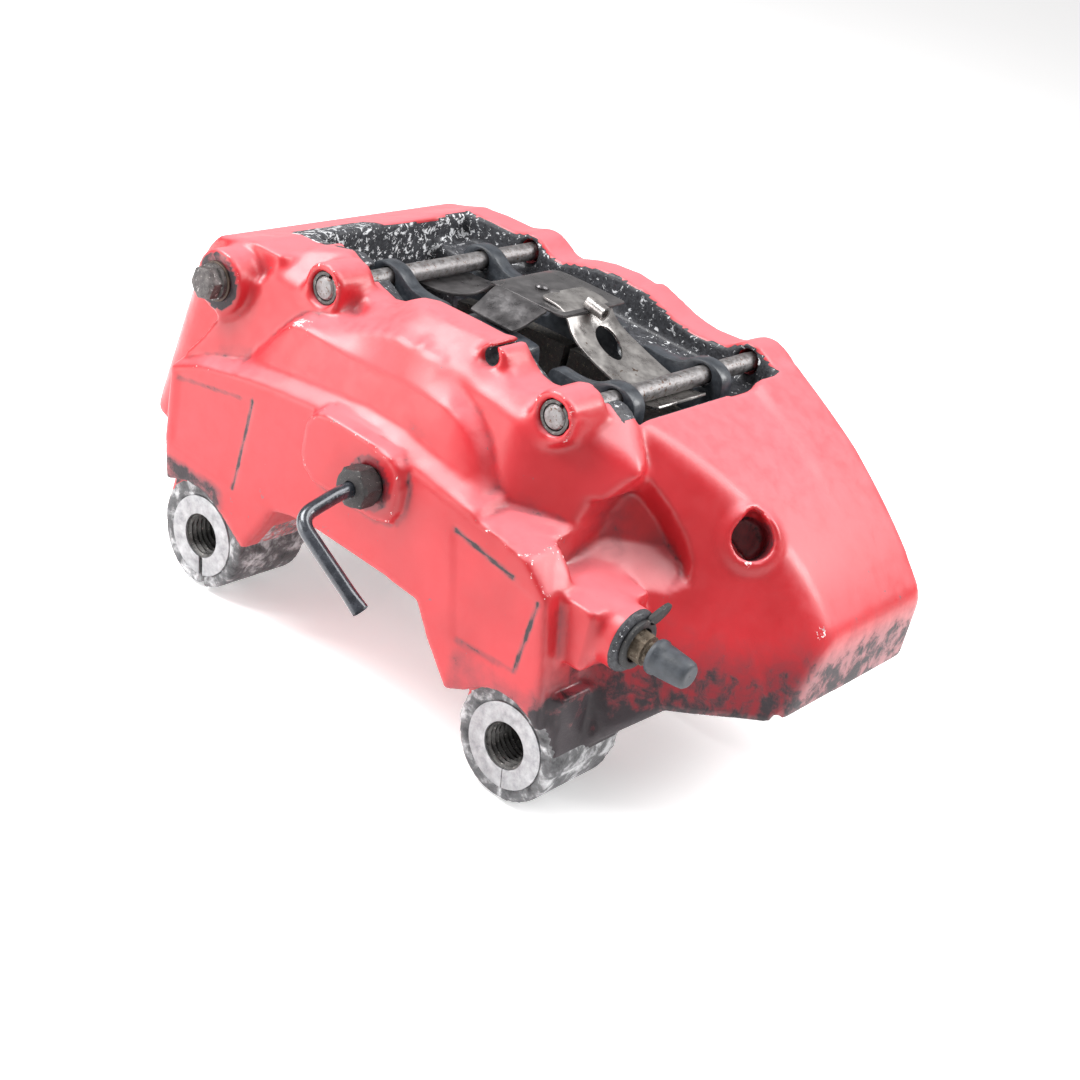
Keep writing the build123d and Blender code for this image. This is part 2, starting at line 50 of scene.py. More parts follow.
# ---- places taken over from the design ----
LUG_X = 71.0
DISC_Z = -57.7
DISC_MID_Y = 70.5
PIN_X = 49.1
PIN_Z = 98.6
PISTON_X = 33.0
PISTON_Z = 61.0
INLET = (6.0, 61.0)
PLUG = (-85.0, 88.0)
BLEEDER = (97.0, 14.5, 47.7)
# the slit in the left lug runs this way from its bore
LUG_SLIT = (0.19, -0.982)
# hole with a slot above it in the rim
KEYHOLE = (17.6, 103.0)
# blind hole in the right-hand end: its mouth, its axis and the way its lip is drawn out
DIMPLE = (100.0, 60.0, 72.0)
DIMPLE_AXIS = (0.62, -0.63, 0.46)
DIMPLE_UP = (-0.32, 0.33, 0.89)
# large facet on the right-hand end
BIG_FACET = np.array([0.622, -0.633, 0.459])
BIG_FACET_OFFSET = 57.5
# depths of the front panel and of the wheel-side skin, and radii round the disc's axis
PANEL_Y = -5.5
SKIN_Y = 132.0
BRIDGE_RADIUS = 167.5
DISC_ROOM_RADIUS = 152.5

# ---- the casting's solid field ----
VOXEL = 1.15
GRID_LOW = np.array([-134.0, -14.0, -22.0])
GRID_HIGH = np.array([134.0, 146.0, 112.0])
AXES = [low + VOXEL * np.arange(math.ceil((high - low) / VOXEL), dtype=np.float32)
        for low, high in zip(GRID_LOW, GRID_HIGH)]
GX, GY, GZ = np.ix_(*[axis.astype(np.float32) for axis in AXES])


def union(a, b, blend=2.0):
    """Soft union of two fields."""
    h = np.clip(0.5 + 0.5 * (b - a) / blend, 0, 1)
    return b + (a - b) * h - blend * h * (1 - h)


def overlap(a, b, blend=2.0):
    """Soft intersection of two fields."""
    return -union(-a, -b, blend)


def cut(a, b, blend=1.5):
    """Field a with field b taken away."""
    return -union(-a, b, blend)


def outline(points):
    """Signed distance to a closed (x, z) outline, negative inside."""
    best = np.full(np.broadcast_shapes(GX.shape, GZ.shape), 1e9, np.float32)
    inside = np.zeros(best.shape, bool)
    for (ax, az), (bx, bz) in zip(points, points[1:] + points[:1]):
        ex, ez = bx - ax, bz - az
        along = np.clip(((GX - ax) * ex + (GZ - az) * ez) / (ex * ex + ez * ez), 0, 1)
        best = np.minimum(best, (GX - ax - along * ex) ** 2 + (GZ - az - along * ez) ** 2)
        if az != bz:
            crosses = (GZ > min(az, bz)) & (GZ <= max(az, bz))
            inside ^= crosses & (GX < ax + (GZ - az) / ez * ex)
    return np.where(inside, -1, 1).astype(np.float32) * np.sqrt(best)


def slab(flat, y_from, y_to, blend=2.0):
    """A flat (x, z) field run along Y between two depths."""
    half = (y_to - y_from) / 2
    return overlap(flat, np.abs(GY - (y_from + half)) - half, blend)


def rod(x, z, radius, y_from, y_to, blend=0.5):
    """Round rod along Y between two depths."""
    return slab(np.sqrt((GX - x) ** 2 + (GZ - z) ** 2) - radius, y_from, y_to, blend)


def round_x(y, z, radius):
    """Endless round rod along X."""
    return np.sqrt((GY - y) ** 2 + (GZ - z) ** 2) - radius


def ball(x, y, z, radius):
    return np.sqrt((GX - x) ** 2 + (GY - y) ** 2 + (GZ - z) ** 2) - radius


def box(x, y, z, blend=1.0):
    """Box between two corners, given as (low, high) spans."""
    across, deep, tall = [np.abs(grid - (low + high) / 2) - (high - low) / 2
                          for grid, (low, high) in ((GX, x), (GY, y), (GZ, z))]
    return overlap(overlap(across, deep, blend), tall, blend)


def ramp(t, points):
    """Straight-line interpolation through (t, value) points."""
    ts, values = zip(*points)
    return np.interp(t, ts, values).astype(np.float32)


def soften(flat, passes):
    """Rounds the creases of a relief by repeated neighbour averaging."""
    for _ in range(passes):
        for axis in (0, 2):
            padded = np.pad(flat, [(1, 1) if i == axis else (0, 0) for i in range(3)], "edge")
            before = np.take(padded, range(0, flat.shape[axis]), axis)
            after = np.take(padded, range(2, flat.shape[axis] + 2), axis)
            flat = 0.25 * before + 0.5 * flat + 0.25 * after
    return flat


def half_space(normal, offset):
    """Field of a plane, negative on the side the normal points away from."""
    return normal[0] * GX + normal[1] * GY + normal[2] * GZ - offset


# lines that run along the inboard face: (x, z) points, each line at the depths given beside it
PANEL_EDGE = [
    (-95, 55), (-90, 57), (-77, 63.5), (-67, 65.6), (-52, 68), (-31, 70.5), (-10, 73.5), (9, 73.5),
    (17, 71.4), (32, 69.5), (44, 68.5), (56, 67), (67, 65), (77, 57)]
CHAMFER_EDGE = [
    (-95, 58), (-83, 62.5), (-65, 67.5), (-55, 71), (-43, 73.8), (-26, 76.2), (-9, 78), (8, 78),
    (25, 75.5), (42, 72), (48, 70.5)]
HUMP_FRONT = [
    (-64, 70), (-58, 79), (-54, 85), (-50, 88.5), (-44, 89.5), (-39, 88.8), (-23, 87.9),
    (-14, 87.9), (1, 89.1), (17, 89.8), (24, 88.5), (29, 85.6), (34, 81.5), (39, 75.5), (42, 72.2)]
HUMP_BACK = [
    (-64, 70.6), (-58, 80), (-54, 86), (-50, 89.3), (-43.6, 91), (-28, 95.1), (-13, 99),
    (-3, 100.1), (7, 98.8), (14, 96), (22, 92.4), (28, 89.5), (33.5, 85), (38, 80.6), (41.8, 76.5),
    (43, 73)]
WALL_SHELF = [
    (-64, 100), (-50, 97), (-40, 95), (-27, 98.2), (-14, 102.8), (-1, 103.9), (14, 102.1),
    (24, 100.7), (36, 99), (44, 98), (58, 96), (70, 94)]
RIM_TOP = [
    (-80, 103), (-64, 105), (-57, 106.8), (-50, 103.5), (-42, 100), (-35, 98.8), (-28, 100.5),
    (-22, 104.5), (-16, 106), (0, 106.6), (13, 106.8), (20, 106.6), (24, 103.4), (28, 100.6),
    (33, 99.6), (42, 101.2), (50, 103), (58, 103), (64, 101.5)]
WINDOW_EDGE = [
    (-66, 102.5), (-57, 104.2), (-49, 102.9), (-42, 99), (-35, 94.5), (-23, 97.5), (-18, 99.5),
    (0, 100), (13, 100), (20, 98.5), (24, 97), (30.6, 94.7), (36, 95.5), (43, 99.6), (49, 101.8),
    (55, 101.8), (61.4, 101.2)]
OUTBOARD_TOP = [
    (-80, 101.5), (-71, 102.5), (-57, 102.7), (-43, 100.7), (-34, 99.9), (-26, 103), (-19, 105),
    (-8, 106), (3, 104.4), (18, 99.8), (27, 98.6), (38, 99.4), (56, 101), (61, 101)]


def inboard_relief():
    """Depth Y of the inboard surface over the (x, z) plane."""
    x, z = GX, GZ
    panel = ramp(x, PANEL_EDGE)
    chamfer = np.maximum(ramp(x, CHAMFER_EDGE), panel + 0.6)
    front, back = ramp(x, HUMP_FRONT), ramp(x, HUMP_BACK)

    # the wall behind the hump: leaning planes, then the shelf and the rim's face
    left = 5.0 + 0.36 * (z - 75) + 0.13 * (x + 72)
    middle = np.where(z < 98, 11.0 + 0.25 * (z - 92), 12.5 + 1.2 * (z - 98))
    right = 6.0 + 0.608 * (x - 45) + 0.357 * (z - 71)
    share = np.clip((x + 50) / 25, 0, 1)
    wall = np.where(x < -25, left * (1 - share) + middle * share, np.maximum(middle, right))
    wall = np.where(x > 44, right, wall)
    above = z - ramp(x, WALL_SHELF)
    shelf = 20 + 1.5 * np.exp(-(((x - 22.0) / 5.0) ** 2))
    wall = np.maximum(wall, shelf + np.where(above > 0, 1.3 * above, 2.2 * above))
    wall = soften(wall.astype(np.float32), 6)

    # the hump in front of it: leaning front, flatter top, and a drop behind its back edge
    hump = np.where(z < front, 0.5 + 4.0 * (z - chamfer) / np.maximum(front - chamfer, 1.0),
                    4.5 + 8.0 * (z - front) / np.maximum(back - front, 0.5))
    hump = np.where((z > back) | (x < -64) | (x > 43), 40.0, hump)
    relief = np.minimum(wall, hump)

    # panel, chamfer, and the cove under the right-hand bulge
    slope = PANEL_Y + 6.0 * (z - panel) / np.maximum(chamfer - panel, 0.5)
    cove = PANEL_Y + 7.0 * (z - panel)
    relief = np.where(x > 46, np.minimum(relief, cove), np.where(z < chamfer, slope, relief))
    relief = np.where(z <= panel, PANEL_Y, relief)
    relief = soften(relief.astype(np.float32), 1)

    # the inlet's raised plate
    plate = outline([
        (-24.4, 66), (-23, 70), (-20, 72.8), (-15, 73.6), (2, 73.5), (12, 72.6), (16, 70),
        (17.6, 64), (17.5, 56.6), (15.3, 52), (9, 49.9), (-17, 50), (-22, 53), (-24.4, 58)])
    relief = np.minimum(relief, np.where(plate < 0, -9.2, -9.2 + 4.0 * plate))

    # shallow rectangles on the panel
    for corners in ([(38, 61), (74, 54), (71, 29), (47, 27)],
                    [(-87, 55), (-51, 61), (-54, 29), (-86, 31)]):
        patch = outline(corners)
        relief = relief + np.where(z < panel, 0.55 * np.clip(0.6 - patch / 1.2, 0, 1), 0)
    return relief.astype(np.float32)

def near_slope():
    """Space above the slope that runs from the rim down to the window's inboard edge."""
    rim, edge = ramp(GX, RIM_TOP), ramp(GX, WINDOW_EDGE)
    above = -(GZ - rim + (rim - edge) / 8.5 * (GY - 33.0)) * 0.85
    return overlap(above, box((-67, 60), (31, 60), (85, 140)), 1.5)


def core_field():
    """The inboard wall in front of the pads, between its end faces."""
    body = outline([
        (-86.5, 16), (-90, 31), (-92, 57), (-86, 68), (-83, 76), (-76, 87), (-70, 97), (-66, 112),
        (78, 112), (80, 95), (76, 89), (72, 85), (69, 79.5), (66.5, 75), (65, 70), (70, 66),
        (76, 58), (82, 31), (86, 8), (76, -4), (58, 14), (48, 9), (37, 21), (30, 31), (16, 32),
        (-15, 32.5), (-28, 31), (-35, 29), (-39, 21), (-46, 9), (-58, 16), (-76, 20)])
    field = overlap(body, (inboard_relief() - GY) * 0.75, 1.6)
    field = overlap(field, GY - 41.5, 1.5)
    field = overlap(field, GZ - ramp(GX, RIM_TOP), 1.8)
    field = cut(field, box((65, 95), (8.5, 45), (56.8, 77), 2.0), 2.5)
    field = overlap(field, half_space((0.438, -0.322, 0.839), 98.0), 2.5)
    return overlap(field, half_space((0.703, 0.612, 0.363), 105.1), 6.0)


def ends_field():
    """Both ends: the arch over the disc with its noses and shoulders."""
    radius = np.sqrt(GX**2 + (GZ - DISC_Z) ** 2)
    shoulder = outline([
        (-130, -30), (-130, 58), (-124, 72), (-113, 86), (-99, 97), (-82, 101.5), (-40, 102.5),
        (40, 102.5), (40, -30)])
    outer = np.where(GX < 0, shoulder, np.maximum(radius - BRIDGE_RADIUS, -50))
    outer = overlap(outer, np.abs(GX) - 130, 3.0)
    field = overlap(outer, 14.5 - GY, 2.0)
    field = overlap(field, GY - SKIN_Y, 5.0)
    scoop_edge = outline([
        (60, 100), (71.7, 83.3), (80, 76.4), (87, 69.2), (91.6, 62.9), (93.5, 57.4), (90, 54),
        (40, 54), (40, 100)])
    scoop = np.minimum(0.9 * np.maximum(-scoop_edge, 0), 8.0)
    field = overlap(field, half_space(BIG_FACET, BIG_FACET_OFFSET) + scoop, 3.5)
    field = overlap(field, half_space((-0.70, -0.70, 0.14), 74.9), 4.0)

    # lower edge of each end, seen from the side
    lower = outline([
        (-140, 24), (-104, 22), (-95, 12), (-82, -4), (-60, -4), (-60, 12), (-40, 30), (40, 30),
        (60, 12), (60, -4), (82, -4), (95, 12), (104, 22), (140, 24), (140, 120), (-140, 120)])
    field = overlap(field, lower, 3.0)
    behind_lug = overlap(np.abs(GY - 62) - 22.5, np.abs(GX) - 62 - 0.9 * (GY - 39.5), 3.0)
    field = cut(field, overlap(behind_lug, GZ - 60, 2.0), 3.0)

    # nothing of it shows in front of the window, and its top is the outboard rim behind it
    field = cut(field, box((-68, 56), (-5, 43), (60, 150), 2.0), 3.0)
    rim = np.where((GY > 92) & (GX > -80) & (GX < 61), GZ - ramp(GX, OUTBOARD_TOP), -20.0)
    field = overlap(field, rim.astype(np.float32), 2.5)

    # the disc's sweep
    sweep = overlap(radius - DISC_ROOM_RADIUS, np.abs(GY - DISC_MID_Y) - 16.0, 1.0)
    return cut(field, sweep, 1.5)


def outboard_field():
    """Wall on the wheel side with a swelling over each cylinder."""
    wall = outline([
        (-122, 24), (-119, 62), (-112, 82), (-86, 99), *OUTBOARD_TOP, (90, 83), (118, 58),
        (122, 24), (78, 26), (52, 20), (-52, 20), (-78, 26)])
    field = slab(wall, 101.5, SKIN_Y, 6.0)
    for sign in (-1, 1):
        swelling = rod(sign * PISTON_X, PISTON_Z, 29.0, 110, 141.0, 7.0)
        field = union(field, swelling, 6.0)
    waist = slab(outline([(-30, 40), (-30, 82), (30, 82), (30, 40)]), 110, 138, 5.0)
    return union(field, waist, 5.0)


def dimple_distances(x, y, z):
    """How far points lie along the blind hole's axis, and across it."""
    dx, dy, dz = x - DIMPLE[0], y - DIMPLE[1], z - DIMPLE[2]
    along = dx * DIMPLE_AXIS[0] + dy * DIMPLE_AXIS[1] + dz * DIMPLE_AXIS[2]
    return along, np.sqrt(np.maximum(dx**2 + dy**2 + dz**2 - along**2, 0))


def lug_field(sign):
    """One mounting lug with its web."""
    x = sign * LUG_X
    boss = rod(x, 0, 18.5, 0.0, 32.0, 1.2)
    web = slab(outline([(x - 18.5, 0), (x + 18.5, 0), (x + 16, 26), (x - 16, 26)]), 0, 32.0, 1.2)
    return union(boss, web, 3.0)


def casting_field():
    """Everything together, then the openings."""
    field = union(core_field(), ends_field(), 3.0)
    field = union(field, outboard_field(), 3.0)

    # bosses round the pins, with a hollow beside each, then those of the plug and the bleeder
    for sign in (-1, 1):
        boss = rod(sign * PIN_X, PIN_Z, 8.3, 14.7, 31.0, 1.0)
        field = union(field, boss, 3.0)
        field = cut(field, ball(sign * PIN_X + 11.5, 18, PIN_Z - 1, 3.6), 3.5)
        far_boss = rod(sign * PIN_X, PIN_Z - 2, 8.5, 114, SKIN_Y, 3.0)
        field = union(field, far_boss, 4.0)
    field = union(field, rod(*PLUG, 10.5, 3.5, 24, 1.5), 3.5)
    field = union(field, box((70, 89), (2, 30), (36, 56.5), 2.0), 2.5)
    bleeder = overlap(round_x(*BLEEDER[1:], 10.2), np.abs(GX - 85) - 12.0, 1.0)
    field = union(field, bleeder, 2.5)
    for sign in (-1, 1):
        relief = rod(sign * LUG_X, 0, 20.0, -20, 0.0, 0.6)
        field = union(field, lug_field(sign), 1.5)
        field = cut(field, relief, 0.8)

    # window for the pads
    field = cut(field, box((-80, 61), (41.5, 101.5), (10, 140), 1.5), 2.0)
    field = cut(field, box((-80, 61), (90, 117), (92, 140), 3.0), 2.5)
    field = cut(field, near_slope(), 1.2)

    # cylinders, each with the wider room for its dust boot
    for x in (-PISTON_X, PISTON_X):
        for radius, spans in ((20.3, ((12.5, 45.0), (96.0, 128.5))),
                              (23.6, ((35.9, 45.0), (96.0, 105.1)))):
            for low, high in spans:
                field = cut(field, rod(x, PISTON_Z, radius, low, high), 0.5)

    # holes for the pins, and the lugs' bores with their counterbores
    for sign in (-1, 1):
        field = cut(field, rod(sign * PIN_X, PIN_Z, 5.6, 0, 24), 0.6)
        field = cut(field, rod(sign * PIN_X, PIN_Z, 4.3, 20, 126), 0.6)
        field = cut(field, rod(sign * LUG_X, 0, 8.6, -5, 40), 0.5)
        field = cut(field, rod(sign * LUG_X, 0, 14.6, -5, 0.9, 0.3), 0.4)

    # slit in the left lug
    along = (GX + LUG_X) * LUG_SLIT[0] + GZ * LUG_SLIT[1]
    across = np.abs((GX + LUG_X) * LUG_SLIT[1] - GZ * LUG_SLIT[0])
    field = cut(field, overlap(across - 0.9, 5.0 - along, 0.3), 0.4)

    # ports of the inlet, the bleeder and the plug
    field = cut(field, rod(*INLET, 5.0, -20, 8), 0.5)
    port = overlap(round_x(*BLEEDER[1:], 4.6), np.abs(GX - 90) - 16, 0.5)
    field = cut(field, port, 0.5)
    field = cut(field, rod(*PLUG, 4.2, -5, 18), 0.5)

    # keyhole in a swelling of the rim
    x, z = KEYHOLE
    field = union(field, rod(x + 0.6, z - 0.6, 5.4, 20.5, 33, 1.5), 2.5)
    keyhole = rod(x, z, 2.9, 12, 60)
    slot = box((x - 0.4, x + 1.3), (12, 60), (z, 120), 0.4)
    field = cut(field, union(keyhole, slot, 0.8), 0.8)

    # blind hole in the end, with its lip and the hollow above it
    along, across = dimple_distances(GX, GY, GZ)
    field = union(field, overlap(across - 9.5, np.abs(along + 3.0) - 4.6, 3.0), 3.0)
    field = cut(field, overlap(across - 6.6, -along - 11, 1.5), 1.2)
    along, across = dimple_distances(*[g - 6.0 * u for g, u in zip((GX, GY, GZ), DIMPLE_UP)])
    field = cut(field, overlap(across - 2.6, -along - 6, 1.5), 3.5)
    return field.astype(np.float32)


def new_object(name, data):
    """Object in the scene."""
    new = bpy.data.objects.new(name, data)
    bpy.context.scene.collection.objects.link(new)
    return new


def mesh_from_field(field, name):
    """Surface of a field as a mesh object, in metres."""
    grid = openvdb.FloatGrid()
    grid.background = 3.0
    grid.copyFromArray(np.clip(field, -3.0, 3.0).astype(np.float32))
    grid.transform = openvdb.createLinearTransform(voxelSize=VOXEL)
    points, triangles, quads = grid.convertToPolygons(0.0, 0.0)
    points = (points + GRID_LOW) * MM
    mesh = bpy.data.meshes.new(name)
    faces = [tuple(face[::-1]) for face in (*triangles, *quads)]
    mesh.from_pydata(points.tolist(), [], faces)
    mesh.update()
    mesh.shade_smooth()
    return new_object(name, mesh)


# ---- materials ----
class Shader:
    """A node material being built, out of numbers, colours and other nodes' outputs."""

    def __init__(self, name):
        self.material = bpy.data.materials.new(name)
        self.material.use_nodes = True
        self.nodes = self.material.node_tree.nodes
        self.surface = self.nodes["Principled BSDF"].inputs
        self.coords = self.nodes.new("ShaderNodeTexCoord").outputs["Object"]

    def feed(self, socket, value):
        """Links an output to a socket, or sets the socket to a number or colour."""
        if isinstance(value, bpy.types.NodeSocket):
            self.material.node_tree.links.new(value, socket)
        else:
            socket.default_value = (*value, 1) if isinstance(value, tuple) else value

    def finish(self, *inputs):
        """Feeds (socket, value) inputs of the surface."""
        for socket, value in inputs:
            self.feed(self.surface[socket], value)

    def node(self, kind, inputs=(), **settings):
        """New node with its settings and its (socket, value) inputs."""
        node = self.nodes.new("ShaderNode" + kind)
        for key, value in settings.items():
            setattr(node, key, value)
        for socket, value in inputs:
            self.feed(node.inputs[socket], value)
        return node

    def noise(self, scale, detail, roughness, distortion=0.0):
        """Noise with scale in cycles per metre."""
        inputs = (("Vector", self.coords), ("Scale", scale), ("Detail", detail),
                  ("Roughness", roughness), ("Distortion", distortion))
        return self.node("TexNoise", inputs).outputs["Fac"]

    def ramp(self, value, *stops):
        """Colour ramp through (position, colour) stops."""
        node = self.node("ValToRGB", [("Fac", value)])
        elements = node.color_ramp.elements
        while len(elements) < len(stops):
            elements.new(0.5)
        for element, (position, colour) in zip(elements, stops):
            element.position = position
            element.color = (*colour, 1)
        return node.outputs["Color"]

    def spread(self, value, low, high, to_low=0, to_high=1):
        """Smooth step that takes one span of a value to another."""
        inputs = (("Value", value), ("From Min", low), ("From Max", high), ("To Min", to_low),
                  ("To Max", to_high))
        return self.node("MapRange", inputs, interpolation_type="SMOOTHSTEP").outputs["Result"]

    def math(self, operation, a, b):
        return self.node("Math", ((0, a), (1, b)), operation=operation).outputs["Value"]

    def plus(self, a, b, share):
        """a plus a share of b."""
        return self.math("ADD", a, self.math("MULTIPLY", b, share))

    def broken(self, zone, noise, share, low, high, top=1):
        """A zone whose edge is broken up by a share of noise."""
        return self.spread(self.plus(zone, noise, share), low, high, 0, top)

    def mix(self, factor, a, b):
        return self.node("Mix", ((0, factor), (6, a), (7, b)), data_type="RGBA").outputs[2]

    def bump(self, height, strength):
        inputs = (("Height", height), ("Strength", strength), ("Distance", 0.0005))
        self.finish(("Normal", self.node("Bump", inputs).outputs["Normal"]))


def worn_material(name, dark, light, flecks, scale, fleck_share, metallic, rough, grain, coat):
    """Two-tone mottled surface with flecks of a third colour."""
    shader = Shader(name)
    mottle = shader.noise(scale, 8, 0.65)
    fine = shader.noise(scale * 4.5, 4, 0.6)
    speck = shader.noise(scale * 1.7, 5, 0.7, 0.4)
    base = shader.ramp(mottle, (0.3, dark), (0.7, light))
    mask = shader.spread(speck, 0.72 - fleck_share, 0.78 - fleck_share)
    shader.bump(fine, grain)
    shader.finish(("Base Color", shader.mix(mask, base, flecks)),
                  ("Roughness", shader.spread(mottle, 0.3, 0.7, *rough)),
                  ("Metallic", metallic), ("Coat Weight", coat))
    return shader.material


def painted_casting():
    """Glossy red paint with chips, dirt and painted shade, a painted highlight on top, bare lugs
    and corroded window walls.
    """
    shader = Shader("painted_casting")
    noise, ramp, broken, mix = shader.noise, shader.ramp, shader.broken, shader.mix
    zones = shader.node("Attribute", attribute_name="zones").outputs
    bare, black, chips = shader.node("SeparateColor", [("Color", zones["Color"])]).outputs
    # alpha: dirt, with painted shade in hollows and creases
    grime_and_shade = zones["Alpha"]

    broad = noise(25, 3, 0.5)
    middle = noise(160, 6, 0.65, 0.3)
    fine = noise(700, 5, 0.7)
    speck = noise(420, 4, 0.75, 0.5)
    pits = noise(1500, 3, 0.6)

    # paint, with a painted highlight that makes it paler where it faces up
    red = ramp(broad, (0.35, (0.40, 0.010, 0.015)), (0.7, (0.54, 0.020, 0.029)))
    normal = shader.node("NewGeometry").outputs["Normal"]
    facing = shader.node("SeparateXYZ", [("Vector", normal)]).outputs["Z"]
    painted_top_highlight = broken(facing, middle, 0.25, 0.58, 1.20, 0.42)
    red = mix(painted_top_highlight, red, (0.80, 0.30, 0.34))

    metal = ramp(middle, (0.30, (0.035, 0.035, 0.038)), (0.5, (0.16, 0.16, 0.165)),
                 (0.66, (0.62, 0.62, 0.63)))
    soot = ramp(fine, (0.36, (0.008, 0.008, 0.011)), (0.62, (0.05, 0.052, 0.06)))
    salt = shader.math("MULTIPLY", broken(speck, chips, 0.16, 0.66, 0.70), black)
    soot = mix(salt, soot, (0.75, 0.76, 0.78))
    chipped = ramp(speck, (0.42, (0.16, 0.15, 0.15)), (0.5, (0.85, 0.84, 0.84)))

    nick_mask = shader.spread(shader.math("MULTIPLY", speck, middle), 0.405, 0.42, 0, 0.8)
    # the alpha zone is painted shade as well as dirt: dark red where it is weak, near black where
    # it is strong
    shade_and_stain_mask = broken(grime_and_shade, middle, 0.5, 0.30, 0.85, 0.85)
    grime_and_shade_mask = broken(grime_and_shade, middle, 0.9, 0.84, 1.02)
    chip_mask = broken(chips, fine, 0.9, 0.93, 0.97, 0.85)
    black_mask = broken(black, middle, 0.4, 0.66, 0.74)
    bare_mask = broken(bare, fine, 0.3, 0.60, 0.68)
    colour = red
    for mask, layer in ((nick_mask, (0.10, 0.08, 0.09)), (shade_and_stain_mask, (0.075, 0.018, 0.026)),
                        (grime_and_shade_mask, (0.022, 0.014, 0.018)), (chip_mask, chipped),
                        (black_mask, soot), (bare_mask, metal)):
        colour = mix(mask, colour, layer)

    # roughness and pits follow the worn places and the painted shade alike
    worn_and_shaded = shader.math("MAXIMUM", shader.math("MAXIMUM", chip_mask, grime_and_shade_mask),
                       shader.math("MAXIMUM", black_mask, bare_mask))
    height = shader.plus(shader.math("MULTIPLY", pits, worn_and_shaded), middle, 0.25)
    height = shader.math("SUBTRACT", height, shader.math("MULTIPLY", chip_mask, 0.4))
    shader.bump(height, 0.35)
    rough = shader.plus(shader.spread(middle, 0.3, 0.7, 0.36, 0.5), worn_and_shaded, 0.3)
    shader.finish(("Base Color", colour), ("Roughness", rough),
                  ("Metallic", shader.math("MULTIPLY", bare_mask, 0.75)), ("Coat Weight", 0.18),
                  ("Coat Roughness", 0.22))
    return shader.material


def sample_field(field, points):
    """Values of a grid field at points in millimetres, by the nearest eight samples."""
    at = (points - GRID_LOW) / VOXEL
    low = np.clip(np.floor(at).astype(int), 0, np.array(field.shape) - 2)
    part = np.clip(at - low, 0, 1)
    total = np.zeros(len(points))
    for corner in range(8):
        pick = np.array([(corner >> axis) & 1 for axis in range(3)])
        weight = np.prod(np.where(pick, part, 1 - part), axis=1)
        index = low + pick
        total += weight * field[index[:, 0], index[:, 1], index[:, 2]]
    return total


def surface_bulge(field, points, normals, reach):
    """How convex the surface is: the field at four points beside it, in its tangent plane."""
    side = np.cross(normals, [0.31, 0.57, 0.76])
    side /= np.maximum(np.linalg.norm(side, axis=1, keepdims=True), 1e-6)
    other = np.cross(normals, side)
    total = sum(sample_field(field, points + reach * (a * side + b * other))
                for a, b in ((1, 0), (0, 1), (-1, 0), (0, -1)))
    return total / (4 * reach)


def step(value, low, high):
    """0 below a span, 1 above it and a smooth rise between."""
    t = np.clip((value - low) / (high - low), 0, 1)
    return t * t * (3 - 2 * t)


def highest(*layers):
    return np.maximum.reduce(layers)


def mesh_vectors(mesh, what):
    values = np.empty(len(mesh.vertices) * 3)
    mesh.vertices.foreach_get(what, values)
    return values.reshape(-1, 3)


# scribed lines on the panel: two (x, z) ends and how dark each line is
SCRIBED = [((-51.8, 61.5), (-54.3, 28.4), 0.60), ((39, 60.8), (63.3, 57.4), 0.58),
           ((73.7, 53.9), (71.4, 29.3), 0.56), ((71.4, 29.3), (48, 27.3), 0.36),
           ((-87, 53.7), (-57.3, 60), 0.38)]


def scribed_lines(x, z):
    """Darkness of the scribed lines at surface points."""
    dark = np.zeros(len(x))
    for (ax, az), (bx, bz), strength in SCRIBED:
        ex, ez = bx - ax, bz - az
        along = np.clip(((x - ax) * ex + (z - az) * ez) / (ex ** 2 + ez ** 2), 0, 1)
        away = np.hypot(x - ax - along * ex, z - az - along * ez)
        dark = np.maximum(dark, strength * np.clip(1.55 - away, 0, 1))
    return dark


